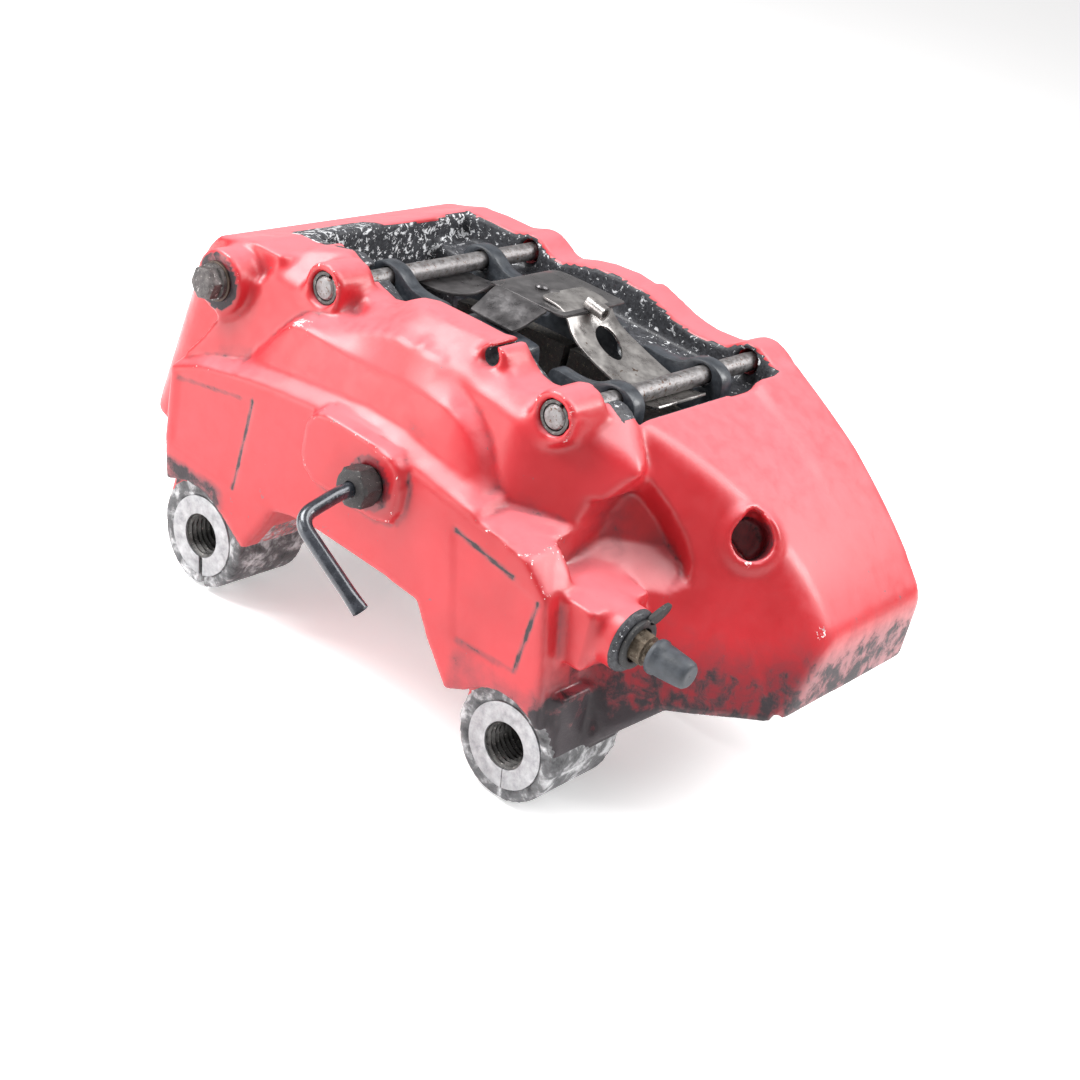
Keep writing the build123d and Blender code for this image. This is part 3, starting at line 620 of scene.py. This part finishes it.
def paint_zones(mesh, field):
    """Writes how bare, black, chipped, and dirty or in painted shade each vertex is, for the shader
    to break up.
    """
    points, normals = mesh_vectors(mesh, "co") / MM, mesh_vectors(mesh, "normal")
    x, y, z = points.T
    bulge, wide_bulge = [surface_bulge(field, points, normals, reach) for reach in (2.6, 9.0)]

    def near(place, spread):
        """1 at a place, fading away from it."""
        return np.exp(-sum((c - p) ** 2 for c, p in zip((x, y, z), place)) / spread)

    # bare metal: the lugs, and faintly the underside
    in_lug = np.minimum(np.hypot(x - LUG_X, z), np.hypot(x + LUG_X, z)) < 19.5
    lug_zone = in_lug | ((z < 7) & (np.abs(np.abs(x) - LUG_X) < 19) & (y > 0.2))
    underside = (z < 20) & (np.abs(x) < 60) & (y > 1.5)
    bare = highest(0.9 * (lug_zone & (y > -0.5) & (y < 34)), 0.5 * underside)

    # black: the window's walls, the slope to the rim, the left corner, the keyhole, the bleeder
    in_window = (x > -80.8) & (x < 61.8) & (y > 41.0) & (y < 117.8)
    top_face = (normals[:, 2] > 0.72) & (z > 97)
    slope = (x > -66) * (x < 61) * step(y, 33.0, 35.0) * (1 - step(y, 44, 46)) * step(z, 90, 93)
    left_corner = step(-x, 64, 70) * step(y, 30, 38) * step(z, 93, 97) * (1 - step(y, 66, 90))
    key_x, key_z = KEYHOLE
    in_keyhole = (np.hypot(x - key_x, z - key_z) < 3.3) & (y > 21.3) & (y < 42)
    in_slot = (np.abs(x - key_x - 0.4) < 1.3) & (z > key_z) & (z < 106.2) & (y > 22) & (y < 42)
    boss_face = (np.hypot(y - BLEEDER[1], z - BLEEDER[2]) < 10.6) & (x > 94.5) & (x < 99)
    black = highest(in_window & ~top_face, 0.62 * slope,
                    0.60 * left_corner * (1 - step(-x, 86, 96)), in_keyhole | in_slot)

    # chips on sharp edges and at four rubbed places; on black the same channel holds salt
    chips = np.clip(bulge * 2.2 - 0.24, 0, 0.40) * (0.45 + 0.55 * ((y < 34) & (z > 40)))
    peak = np.exp(-(((x + 49) / 8) ** 2 + ((z - 89) / 4) ** 2)) * (y < 9)
    rim = step(z, 103, 105) * step(x, -30, -16) * (x < 22) * step(y, 29, 33) * (y < 41)
    rim = rim * (0.75 + 0.25 * np.sin(0.9 * x) * np.sin(0.37 * x + 1.0))
    chips = highest(chips, 0.53 * peak, 0.46 * rim, 0.5 * near((103, 56, 66), 12),
                    0.5 * near((127, 71, 50), 18))
    salt = np.where(x < -74, 0.72 * step(z, 74, 86), 0.40 * step(z, 80, 95))
    salt = highest(salt, 0.62 * slope * step(x, -40, -30) * (1 - step(x, 22, 26)))
    chips = np.where(black > 0.5, salt, chips * (1 - step(black, 0.02, 0.2)))
    black = highest(black, 0.8 * boss_face)

    # dirt and painted shade: shade painted into hollows and creases, into the pocket and the blind
    # hole;
    # darker low down and underneath; dirt in the scribed lines and round the fittings
    pocket_shade = np.exp(-(((x - 71) / 9) ** 2 + ((y - 31) / 10) ** 2 + ((z - 69) / 10) ** 2))
    along, across = dimple_distances(x, y, z)
    around_plug = (np.hypot(x - PLUG[0], z - PLUG[1]) < 9.5) & (y < 6)
    around_nut = (np.hypot(x - INLET[0], z - INLET[1]) < 9.0) & (y < -6)
    grime_and_shade = highest(
        np.clip(-1.5 * bulge - 0.05, 0, 0.37),
        np.clip(-1.0 * wide_bulge - 0.06, 0, 0.33),
        0.48 * pocket_shade,
        0.62 * step(x, 74, 84) * (1 - step(z, 18, 42)) * (1 - step(y, 60, 100)),
        0.46 * step(x, 60, 88) * (1 - step(z, 28, 54)) * (y > 8),
        0.50 * (z < 24) * step(y, 2, 8) * (np.abs(x) > 50),
        0.49 * step(x, 108, 126) * (1 - step(z, 34, 56)),
        0.52 * (1 - step(z, 23, 29)) * step(-x, 55, 62) * (y < 0),
        0.30 * (1 - step(z, 22, 30)) * step(x, 44, 50) * (y < 0),
        0.42 * (across < 7.0) * (along < 0.5) * (along > -14),
        scribed_lines(x, z) * (y < -3),
        0.50 * around_plug,
        0.42 * around_nut)
    zones = np.stack([bare, black, chips, grime_and_shade], axis=1).astype(np.float32)
    layer = mesh.attributes.new("zones", "FLOAT_COLOR", "POINT")
    layer.data.foreach_set("color", zones.ravel())


def assign(piece, material):
    piece.data.materials.clear()
    piece.data.materials.append(material)


# name; dark, light and fleck colours; scale, fleck share, metallic, roughness, grain, coat
WORN = [
    ("piston_steel", (0.30, 0.30, 0.31), (0.55, 0.55, 0.56), (0.2, 0.15, 0.12),
     350, 0.12, 0.9, (0.25, 0.5), 0.25, 0),
    ("seal_rubber", (0.015, 0.015, 0.016), (0.03, 0.03, 0.03), (0.08, 0.08, 0.08),
     350, 0.12, 0, (0.5, 0.7), 0.25, 0),
    ("boot_rubber", (0.012, 0.012, 0.013), (0.035, 0.035, 0.036), (0.12, 0.11, 0.10),
     350, 0.12, 0, (0.5, 0.75), 0.25, 0),
    ("backing_plate", (0.014, 0.017, 0.022), (0.045, 0.052, 0.062), (0.16, 0.16, 0.17),
     350, 0.06, 0, (0.32, 0.5), 0.2, 0.15),
    ("friction", (0.02, 0.019, 0.018), (0.075, 0.07, 0.065), (0.22, 0.18, 0.13),
     700, 0.12, 0, (0.7, 0.9), 0.6, 0),
    ("pin_steel", (0.13, 0.12, 0.12), (0.34, 0.33, 0.33), (0.10, 0.05, 0.03),
     500, 0.15, 0.8, (0.32, 0.6), 0.25, 0),
    ("spring_steel", (0.045, 0.043, 0.045), (0.15, 0.143, 0.145), (0.24, 0.22, 0.21),
     180, 0.05, 0.65, (0.25, 0.45), 0.12, 0),
    ("spring_strip", (0.22, 0.205, 0.20), (0.52, 0.50, 0.48), (0.10, 0.055, 0.03),
     160, 0.1, 0.85, (0.22, 0.42), 0.1, 0),
    ("bleeder_steel", (0.05, 0.035, 0.022), (0.20, 0.16, 0.12), (0.30, 0.27, 0.22),
     700, 0.12, 0.6, (0.45, 0.7), 0.25, 0),
    ("cap_rubber", (0.022, 0.026, 0.032), (0.05, 0.057, 0.068), (0.12, 0.12, 0.13),
     300, 0.05, 0, (0.45, 0.6), 0.15, 0),
    ("nut_steel", (0.018, 0.017, 0.018), (0.065, 0.060, 0.060), (0.35, 0.32, 0.30),
     600, 0.1, 0.5, (0.4, 0.65), 0.5, 0),
    ("pipe_coating", (0.016, 0.018, 0.024), (0.05, 0.055, 0.068), (0.20, 0.21, 0.23),
     260, 0.06, 0.35, (0.16, 0.34), 0.12, 0.5),
    ("plug_steel", (0.030, 0.026, 0.027), (0.17, 0.155, 0.15), (0.42, 0.40, 0.39),
     450, 0.12, 0.6, (0.4, 0.65), 0.6, 0),
    ("washer_copper", (0.03, 0.022, 0.02), (0.12, 0.085, 0.065), (0.05, 0.04, 0.04),
     350, 0.12, 0.7, (0.4, 0.6), 0.25, 0),
    ("machined_face", (0.20, 0.20, 0.21), (0.50, 0.50, 0.51), (0.10, 0.09, 0.09),
     260, 0.03, 0.6, (0.28, 0.45), 0.2, 0),
    ("thread_steel", (0.03, 0.028, 0.028), (0.16, 0.155, 0.15), (0.35, 0.33, 0.31),
     500, 0.12, 0.7, (0.35, 0.6), 0.25, 0),
]
MATERIALS = {row[0]: worn_material(*row) for row in WORN}

# CAD nodes that keep their own shape, by the start of their names
MATERIAL_OF_NODE = {"piston_seal": "seal_rubber", "piston": "piston_steel",
                    "dust_boot": "boot_rubber", "friction_pad": "friction"}
for node_name, node_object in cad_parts.items():
    matches = [key for key in MATERIAL_OF_NODE if node_name.startswith(key)]
    if matches:
        chosen = MATERIALS[MATERIAL_OF_NODE[max(matches, key=len)]]
        for socket in node_object.material_slots:
            socket.material = chosen

# ---- the casting ----
FIELD = casting_field()
casting = mesh_from_field(FIELD, "casting")
paint_zones(casting.data, FIELD)
assign(casting, painted_casting())
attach(casting, "root")
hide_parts("caliper_body")


# ---- mesh building for the smaller pieces ----
def place_piece(name, shape, body, material, *nodes, slot_name=None, sharp=35):
    """Mesh object from (points, faces) in millimetres, riding a body and standing for nodes."""
    points, faces = shape
    mesh = bpy.data.meshes.new(name)
    mesh.from_pydata([tuple(c * MM for c in p) for p in points], [], faces)
    mesh.validate()
    mesh.update()
    mesh.shade_smooth()
    mesh.set_sharp_from_angle(angle=math.radians(sharp))
    piece = new_object(name, mesh)
    assign(piece, MATERIALS[material])
    slot_name = slot_name or material
    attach(piece, body)
    if nodes:
        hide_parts(*nodes)


def joined(*parts):
    """Several (points, faces) pairs as one."""
    points, faces = [], []
    for more_points, more_faces in parts:
        shift = len(points)
        points += list(more_points)
        faces += [tuple(i + shift for i in face) for face in more_faces]
    return points, faces


def frame_of(origin, direction):
    """Function from (across, up, along) to a point, for a shape along a direction."""
    w = Vector(direction).normalized()
    u = w.orthogonal().normalized()
    v = w.cross(u)
    origin = Vector(origin)
    return lambda a, b, c: tuple(origin + u * a + v * b + w * c)


def turned(profile, origin, direction, segments=64, radius=None, closed=False):
    """Shape turned about an axis from (along, radius) points; radius may vary with the angle."""
    place = frame_of(origin, direction)
    points, faces = [], []
    for row, (along, r) in enumerate(profile):
        for k in range(segments):
            angle = 2 * math.pi * k / segments
            here = radius(angle, along, r) if radius else r
            points.append(place(here * math.cos(angle), here * math.sin(angle), along))
    rows = len(profile)
    for row in range(rows if closed else rows - 1):
        low, high = row * segments, ((row + 1) % rows) * segments
        for k in range(segments):
            after = (k + 1) % segments
            faces.append((low + k, low + after, high + after, high + k))
    if not closed:
        faces.append(tuple(reversed(range(segments))))
        faces.append(tuple(range((rows - 1) * segments, rows * segments)))
    return points, faces


def hexagon_radius(flats, start=-1e9, end=1e9):
    """Radius rule for turned(): a hexagon no wider than the profile says, between two depths."""
    def rule(angle, along, r):
        if not start <= along <= end:
            return r
        within = (angle + math.pi / 6) % (math.pi / 3) - math.pi / 6
        return min(r, flats / 2 / math.cos(within))
    return rule


def thread_radius(pitch, depth):
    """Radius rule for turned(): a helical groove of the given pitch."""
    def rule(angle, along, r):
        turn = (along / pitch - angle / (2 * math.pi)) % 1.0
        return r - depth * (1 - abs(2 * turn - 1))
    return rule


def quarter_points(a, b):
    """The two points a quarter of the way in from the ends of a line."""
    return [(0.75 * a[0] + 0.25 * b[0], 0.75 * a[1] + 0.25 * b[1]),
            (0.25 * a[0] + 0.75 * b[0], 0.25 * a[1] + 0.75 * b[1])]


def rounded(points, passes=2):
    """Corners of a closed line cut off, again and again."""
    for _ in range(passes):
        after = points[1:] + points[:1]
        points = [p for a, b in zip(points, after) for p in quarter_points(a, b)]
    return points


def arc(x, y, radius, angles):
    """Points round a centre."""
    return [(x + radius * math.cos(angle), y + radius * math.sin(angle)) for angle in angles]


def circle(x, y, radius, count=40):
    return arc(x, y, radius, [2 * math.pi * k / count for k in range(count)])


def ring_with_gap(x, z, outer, inner, angle, gap):
    """Outline of a flat ring, open over a gap of that width at an angle."""
    sides = []
    for radius in (outer, inner):
        half = math.asin(gap / 2 / radius)
        start, sweep = angle + half, 2 * math.pi - 2 * half
        sides.append(arc(x, z, radius, [start + sweep * k / 72 for k in range(73)]))
    return sides[0] + sides[1][::-1]


def shrunk(points, distance):
    """Closed counter-clockwise line moved inwards along its vertex normals."""
    moved = []
    for before, here, after in zip(points[-1:] + points[:-1], points, points[1:] + points[:1]):
        ex, ey = after[0] - before[0], after[1] - before[1]
        length = math.hypot(ex, ey)
        moved.append((here[0] - ey / length * distance, here[1] + ex / length * distance))
    return moved


def anticlockwise(points, wanted=True):
    area = sum(a[0] * b[1] - b[0] * a[1] for a, b in zip(points, points[1:] + points[:1]))
    return points if (area > 0) == wanted else points[::-1]


def inside(point, points):
    x, y = point
    hit = False
    for (ax, ay), (bx, by) in zip(points, points[1:] + points[:1]):
        if (ay > y) != (by > y) and x < ax + (y - ay) / (by - ay) * (bx - ax):
            hit = not hit
    return hit


def flat_solid(outer, holes, low, high, bevel, place, spacing=None):
    """Plate with rounded edges from a flat outline; place maps (across, up, depth) to a point.

    A spacing gives its faces a grid of inner points, so that they can follow a bend.
    """
    loops = [anticlockwise(outer)] + [anticlockwise(hole, False) for hole in holes]
    steps = [(low, bevel), (low + 0.3 * bevel, 0.3 * bevel), (low + bevel, 0.0),
             (high - bevel, 0.0), (high - 0.3 * bevel, 0.3 * bevel), (high, bevel)]
    rim, *hollows = [shrunk(loop, bevel) for loop in loops]

    def in_face(spot):
        return inside(spot, rim) and not any(inside(spot, hollow) for hollow in hollows)

    # the edge all round, and for each face point its own number below and above
    points, faces = [], []
    flat, edges, owner = [], [], []
    for loop, inset_loop in zip(loops, (rim, *hollows)):
        first, count = len(points), len(loop)
        for depth, inset in steps:
            points += [place(x, y, depth) for x, y in shrunk(loop, inset)]
        for row in range(len(steps) - 1):
            for k in range(count):
                a = first + row * count + k
                b = first + row * count + (k + 1) % count
                faces.append((a, b, b + count, a + count))
        base = len(flat)
        flat += [Vector(p) for p in inset_loop]
        owner += [(first + k, first + (len(steps) - 1) * count + k) for k in range(count)]
        edges += [(base + k, base + (k + 1) % count) for k in range(count)]
    if spacing:
        xs, ys = zip(*rim)
        for i in range(1, int((max(xs) - min(xs)) / spacing)):
            for j in range(1, int((max(ys) - min(ys)) / (3 * spacing))):
                spot = (min(xs) + i * spacing, min(ys) + j * 3 * spacing)
                if in_face(spot):
                    flat.append(Vector(spot))
                    owner.append((len(points), len(points) + 1))
                    points += [place(*spot, low), place(*spot, high)]

    corners, _, triangles, sources, _, _ = delaunay_2d_cdt(flat, edges, [], 0, 1e-5)
    for triangle in triangles:
        middle = sum((corners[i] for i in triangle), Vector((0, 0))) / 3
        if in_face(middle) and all(sources[i] for i in triangle):
            ids = [owner[sources[i][0]] for i in triangle]
            faces.append(tuple(pair[1] for pair in ids))
            faces.append(tuple(pair[0] for pair in reversed(ids)))
    return points, faces


def bent(line):
    """Function from (distance, y, depth) to a point on a strip bent along an (x, z) line."""
    for _ in range(3):
        between = [p for a, b in zip(line, line[1:]) for p in quarter_points(a, b)]
        line = [line[0], *between, line[-1]]
    xs, zs = zip(*line)

    def place(x, y, depth):
        z = float(np.interp(x, xs, zs))
        slope = float(np.interp(x + 0.5, xs, zs) - np.interp(x - 0.5, xs, zs))
        length = math.hypot(1, slope)
        return x - slope / length * depth, y, z + depth / length
    return place


def along_y(x, z, depth):
    return x, depth, z


# ---- mounting lugs: machined ring and helical thread ----
LUG_THREAD = [(0.9, 8.7), (0.9, 7.7), *[(1.4 + 0.25 * k, 7.75) for k in range(122)],
              (32.0, 7.9), (32.0, 8.7)]
SLIT_ANGLE = math.atan2(LUG_SLIT[1], LUG_SLIT[0])
lug_groove = thread_radius(2.0, 0.9)
for side_name, sign in SIDES:
    gap = 1.8 if sign < 0 else 0.15
    ring = ring_with_gap(sign * LUG_X, 0, 14.3, 7.8, SLIT_ANGLE, gap)
    place_piece(f"lug_face_{side_name}", flat_solid(ring, [], 0.05, 1.0, 0.25, along_y), "root",
                "machined_face", slot_name="casting", sharp=30)
    bore = turned(LUG_THREAD, (sign * LUG_X, 0, 0), (0, 1, 0), 96, closed=True,
                  radius=lambda a, t, r: lug_groove(a, t, r) if r < 7.8 and 1.4 <= t < 31.9 else r)
    place_piece(f"lug_thread_{side_name}", bore, "root", "thread_steel", slot_name="casting",
                sharp=50)

# ---- brake pads ----
HALF_PLATE = [
    (13, 101), (14.4, 99), (15, 93), (17, 91), (21, 91), (22.6, 93), (23.2, 97), (25, 98.9),
    (31, 98.3), (37.5, 98.8), (41, 100.4), (44, 102.6), (48.5, 103.9), (53.5, 103.2), (57, 100.6),
    (58, 96.5), (58, 89), (57, 75), (55.5, 58), (52.5, 45), (49, 41.5), (40, 39), (25, 36.5)]
PLATE = [(-x, z) for x, z in HALF_PLATE[::-1]] + HALF_PLATE
for side_name, low in (("inboard", 44.0), ("outboard", 91.0)):
    holes = [circle(sign * PIN_X, PIN_Z, 3.6) for sign in (-1, 1)]
    plate = flat_solid(rounded(PLATE, 3), holes, low, low + 6.0, 0.7, along_y)
    place_piece(f"pad_plate_{side_name}", plate, f"{side_name}_pad", "backing_plate",
                f"backing_plate_{side_name}")

# ---- retaining pins and their split sleeves ----
PIN_LINE = [
    (14.95, 0.2), (14.95, 2.2), (15.2, 3.3), (15.9, 3.9), (17.2, 4), (17.6, 3.25), (30, 3.22),
    (43.6, 3.22), (44.6, 3.12), (49.6, 3.12), (50.6, 3.22), (70, 3.2), (90.4, 3.22), (91.4, 3.1),
    (96.6, 3.12), (97.6, 3.22), (124.2, 3.22), (124.9, 2.6), (124.9, 0.2)]
for side_name, sign in SIDES:
    pin = turned(PIN_LINE, (sign * PIN_X, 0, PIN_Z), (0, 1, 0), 48)
    place_piece(f"pin_{side_name}_rod", pin, f"pin_{side_name}", "pin_steel",
                f"pad_pin_{side_name}")
    ring = ring_with_gap(sign * PIN_X, PIN_Z, 5.35, 4.15, 1.2, 1.4)
    place_piece(f"pin_{side_name}_sleeve", flat_solid(ring, [], 15.6, 21.6, 0.25, along_y),
                f"pin_{side_name}", "thread_steel", f"pin_collar_{side_name}",
                slot_name="pin_steel")

# ---- pad spring ----
CROSS_LINE = [
    (-63, 93.4), (-56, 94), (-44, 94.1), (-34, 95.6), (-28, 97.6), (-24, 101.5), (-19, 106.6),
    (-14, 107.5), (14, 108)]
CROSS_PLAN = [
    (-62, 62), (-60, 60), (-36, 60), (-30, 63), (-26, 66), (-22, 66), (-18.5, 60), (-17, 58.5),
    (12, 58.5), (13.5, 60), (13.5, 91), (12, 92.5), (-17, 92.5), (-18.5, 91), (-22, 81), (-26, 81),
    (-30, 83), (-36, 85.8), (-60, 85.8), (-62, 84)]
WING_LINE = [(11.5, 107.4), (13.5, 107.3), (17, 105.4), (21, 103.3), (25.5, 101.9)]
WING_PLAN = [(11.8, -14), (13, -14.5), (25, -13), (26, -12), (26, 5), (25, 6), (13, 7.5), (11.8, 7)]
STRIP_LINE = [
    (-1, 109.1), (8, 109.2), (12, 107.9), (15, 104.2), (19, 101.9), (26, 99.6), (34, 97.4),
    (42, 95.4), (50, 94.3), (54, 94.4), (57, 96.2)]
STRIP_PLAN = [
    (-0.5, 64.5), (1, 63), (10, 62.5), (19, 60.5), (25, 59.5), (35, 59.3), (55, 59.3),
    (56.8, 60.3), (56.8, 84.8), (55, 85.8), (35, 85.8), (26, 86), (18, 85.8), (12, 85), (1, 85),
    (-0.5, 83.5)]
STRIP_SLOT = [
    (16.5, 73), (19.5, 70), (24, 68.3), (28.5, 68.2), (30.6, 70.2), (29.2, 73.6), (25, 77.4),
    (20.5, 79.6), (17.4, 79.2), (15.8, 76.4)]

def on_wing(sign):
    """Function from (distance, x, depth) to a point on a wing, which bends down along Y."""
    def place(distance, x, depth):
        out, _, z = wing_bend(distance, 0, depth)
        return x, DISC_MID_Y + sign * out, z
    return place


cross = flat_solid(rounded(CROSS_PLAN), [], 0.0, 1.0, 0.2, bent(CROSS_LINE), 1.5)
wing_bend = bent(WING_LINE)
wings = [flat_solid(rounded(WING_PLAN), [], 0.0, 1.0, 0.2, on_wing(sign), 1.2) for sign in (-1, 1)]
place_piece("spring_leaf", joined(cross, *wings), "root", "spring_steel", "pad_spring_cross")
strip = flat_solid(rounded(STRIP_PLAN), [rounded(STRIP_SLOT, 3)], 0.0, 0.9, 0.2, bent(STRIP_LINE),
                   1.2)
curl = turned([(0, 2.4), (0, 1.5), (7.5, 1.6), (7.5, 2.5)], (11.5, 73.4, 111.0),
              (0.98, 0.02, -0.18), 32, closed=True)
place_piece("spring_strip", joined(strip, curl), "root", "spring_strip", "pad_spring_tongue")
RIVET = [(-2.6, 0.1), (-2.4, 2.0), (-1.6, 2.2), (-1.6, 1.2), (0, 2.3), (0.5, 2.3), (1.0, 1.9),
         (1.35, 1.1), (1.45, 0.1)]
rivets = [turned(RIVET, (x, 71.5, 108.7), (0, 0, 1), 32) for x in (-6.5, -0.5)]
place_piece("spring_rivets", joined(*rivets), "root", "spring_steel", "pad_spring_rivets")

# ---- bleeder ----
SCREW_LINE = [(-12, 0.2), (-12, 3.9), (-10, 4.4), (-0.2, 4.4), (0, 4.9), (0.5, 5.3), (4.6, 5.3),
              (5.1, 4.7), (5.2, 3.4), *[(5.4 + 0.3 * k, 3.4) for k in range(14)], (9.6, 2.6),
              (15.0, 2.5), (15.0, 0.2)]
screw_hexagon, screw_thread = hexagon_radius(9.0, 0.1, 5.0), thread_radius(1.0, 0.5)
screw = turned(SCREW_LINE, BLEEDER, (1, 0, 0), 72, radius=lambda a, t, r: (
    screw_thread(a, t, r) if 5.3 < t < 9.5 else screw_hexagon(a, t, r)))
place_piece("bleeder_nipple", screw, "bleeder", "bleeder_steel", "bleeder_screw")
CAP_LINE = [
    (7.6, 2.7), (7.2, 4.6), (7.5, 5.4), (8.4, 5.7), (9.2, 5.6), (9.7, 5.2), (12, 5.1), (15, 4.85),
    (18, 4.6), (19.6, 4.3), (20.4, 3.6), (20.6, 2.6), (20.3, 1.2), (20.3, 0.2), (16.2, 0.2),
    (16.2, 2.7)]
cap = turned(CAP_LINE, BLEEDER, (1, 0, 0), 56, closed=True)
place_piece("bleeder_rubber_cap", cap, "cap", "cap_rubber", "bleeder_cap", sharp=50)


def round_bleeder(a, b, depth):
    """Point beside the bleeder's axis, at a depth from the face of its boss."""
    return BLEEDER[0] + depth, BLEEDER[1] + a, BLEEDER[2] + b


TAB = [(2, 6), (6, 5), (11.5, 7.5), (12.5, 10), (11, 11), (5, 9.5), (2, 8)]
hole = circle(0, 0, 5.6, 56)
strap_ring = flat_solid(circle(0, 0, 8.0, 56), [hole], 0.1, 1.7, 0.4, round_bleeder)
strap_tab = flat_solid(rounded(TAB), [], 0.1, 1.7, 0.4, round_bleeder)
place_piece("bleeder_strap", joined(strap_ring, strap_tab), "root", "boot_rubber",
            "bleeder_cap_strap", slot_name="cap_rubber")

# ---- inlet: tube nut and pinched pipe ----
NUT_LINE = [
    (-17.5, 2.6), (-17.5, 5.2), (-17.2, 5.9), (-16.4, 6.9), (-10.8, 6.9), (-10.2, 6.4), (-9.9, 6),
    (-9.4, 4.9), (1.5, 4.85), (1.5, 2.6)]
nut = turned(NUT_LINE, (INLET[0], 0, INLET[1]), (0, 1, 0), 96, closed=True,
             radius=hexagon_radius(12.0, -17.6, -9.8))
place_piece("inlet_nut", nut, "tube_nut", "nut_steel", "inlet_tube_nut", sharp=25)


def swept(path, radius, segments, pinch):
    """Round tube along a smooth path, squeezed flat over the last few millimetres."""
    points, faces = [], []
    count = len(path)
    side = Vector((1, 0, 0))
    lengths = [0.0]
    for a, b in zip(path, path[1:]):
        lengths.append(lengths[-1] + (b - a).length)
    for k, here in enumerate(path):
        tangent = (path[min(k + 1, count - 1)] - path[max(k - 1, 0)]).normalized()
        side = (side - tangent * side.dot(tangent)).normalized()
        other = tangent.cross(side)
        closing = min(max((lengths[k] - lengths[-1] + pinch) / pinch, 0.0), 1.0) ** 1.5
        for j in range(segments):
            angle = 2 * math.pi * j / segments
            points.append(tuple(here + side * (radius * (1 + 0.10 * closing) * math.cos(angle))
                                + other * (radius * (1 - 0.34 * closing) * math.sin(angle))))

    # one more row, drawn in to round the cut end
    last = (count - 1) * segments
    points += [tuple(path[-1] + (Vector(point) - path[-1]) * 0.6 - tangent * 1.6)
               for point in points[last:]]
    for low in range(0, count * segments, segments):
        high = low + segments
        for j in range(segments):
            after = (j + 1) % segments
            faces.append((low + j, low + after, high + after, high + j))
    faces.append(tuple(reversed(range(segments))))
    faces.append(tuple(range(count * segments, (count + 1) * segments)))
    return points, faces


def filleted(corners, radius, steps=12):
    """Path through corner points with each corner rounded."""
    path = [Vector(corners[0])]
    for before, corner, after in zip(corners, corners[1:], corners[2:]):
        before, corner, after = Vector(before), Vector(corner), Vector(after)
        start = corner + (before - corner).normalized() * radius
        end = corner + (after - corner).normalized() * radius
        for k in range(steps + 1):
            t = k / steps
            path.append(start * (1 - t) ** 2 + corner * (2 * t * (1 - t)) + end * t ** 2)
    path += [path[-1].lerp(Vector(corners[-1]), t / 24) for t in range(1, 25)]
    return path


PIPE_CORNERS = [(6, 2, 61), (6, -20.5, 61), (6, -37.5, 56), (36.4, -37.6, 40.8)]
pipe = swept(filleted(PIPE_CORNERS, 6.0), 2.375, 36, 7.0)
place_piece("brake_pipe", pipe, "root", "pipe_coating", "brake_pipe_stub")

# ---- passage plug ----
PLUG_LINE = [
    (-3.5, 0.2), (-3.6, 3.2), (-3.4, 4.3), (-2.6, 5.6), (1, 5.85), (1.1, 5.9), (1.1, 6.1),
    (2.4, 6.1), (2.5, 3.95), (13.5, 3.9), (13.5, 0.2)]
WASHER_LINE = [(2.5, 4.2), (2.5, 6.4), (2.7, 6.7), (3.3, 6.7), (3.5, 6.5), (3.5, 4.2)]
PLUG_AXIS = (PLUG[0], 0, PLUG[1]), (0, 1, 0)
plug = turned(PLUG_LINE, *PLUG_AXIS, 96, radius=hexagon_radius(10.0, -4.0, 1.05))
place_piece("hexagon_plug", plug, "root", "plug_steel", "passage_plug", sharp=28)
washer = turned(WASHER_LINE, *PLUG_AXIS, 56, closed=True)
place_piece("plug_washer", washer, "root", "washer_copper", "passage_plug_washer")

# ---- camera, light and floor ----
camera_data = bpy.data.cameras.new("camera")
camera_data.sensor_width = 36
camera_data.lens = 61.67
camera = new_object("camera", camera_data)
azimuth, elevation, roll = math.radians(34.05), math.radians(27.19), math.radians(14.21)
backward = Vector((math.sin(azimuth) * math.cos(elevation),
                   -math.cos(azimuth) * math.cos(elevation), math.sin(elevation)))
level_right = Vector((math.cos(azimuth), math.sin(azimuth), 0))
level_up = backward.cross(level_right)
right = level_right * math.cos(roll) + level_up * math.sin(roll)
up = level_up * math.cos(roll) - level_right * math.sin(roll)
pose = Matrix((right, up, backward)).transposed().to_4x4()
pose.translation = Vector((15.13, 74.5, 23.62)) * MM + backward * 634.7 * MM
camera.matrix_world = pose
bpy.context.scene.camera = camera

world = bpy.data.worlds.new("studio")
world.use_nodes = True
sky = world.node_tree.nodes["Background"].inputs
sky["Color"].default_value = (1.0, 0.985, 0.985, 1)
sky["Strength"].default_value = 0.42
bpy.context.scene.world = world


def soft_light(name, place, aim, size, power):
    data = bpy.data.lights.new(name, "AREA")
    data.energy = power
    data.size = size
    lamp = new_object(name, data)
    lamp.location = place
    lamp.visible_camera = False
    lamp.rotation_euler = (Vector(aim) - Vector(place)).to_track_quat("-Z", "Y").to_euler()


CENTRE = (0.0, 0.05, 0.05)
soft_light("top_left", (-0.45, -0.25, 0.75), CENTRE, 0.45, 11)
soft_light("front_left", (-0.6, -0.7, 0.25), CENTRE, 0.5, 4.5)
soft_light("overhead", (0.30, 0.30, 0.85), CENTRE, 0.45, 5)
soft_light("behind_right", (0.42, 0.42, 0.42), (0.10, 0.07, 0.07), 0.25, 3)

bpy.ops.mesh.primitive_plane_add(size=6, location=(0, 0, -0.0192))
floor = bpy.context.object
floor.name = "studio_floor"
shader = Shader("pale_floor")
tone = shader.ramp(shader.noise(3, 6, 0.6), (0.3, (0.93, 0.93, 0.93)), (0.7, (0.95, 0.95, 0.95)))
shader.finish(("Base Color", tone), ("Roughness", 0.9), ("Emission Color", (1, 1, 1)),
              ("Emission Strength", 0.42))
assign(floor, shader.material)
bpy.context.scene.view_settings.view_transform = "Standard"
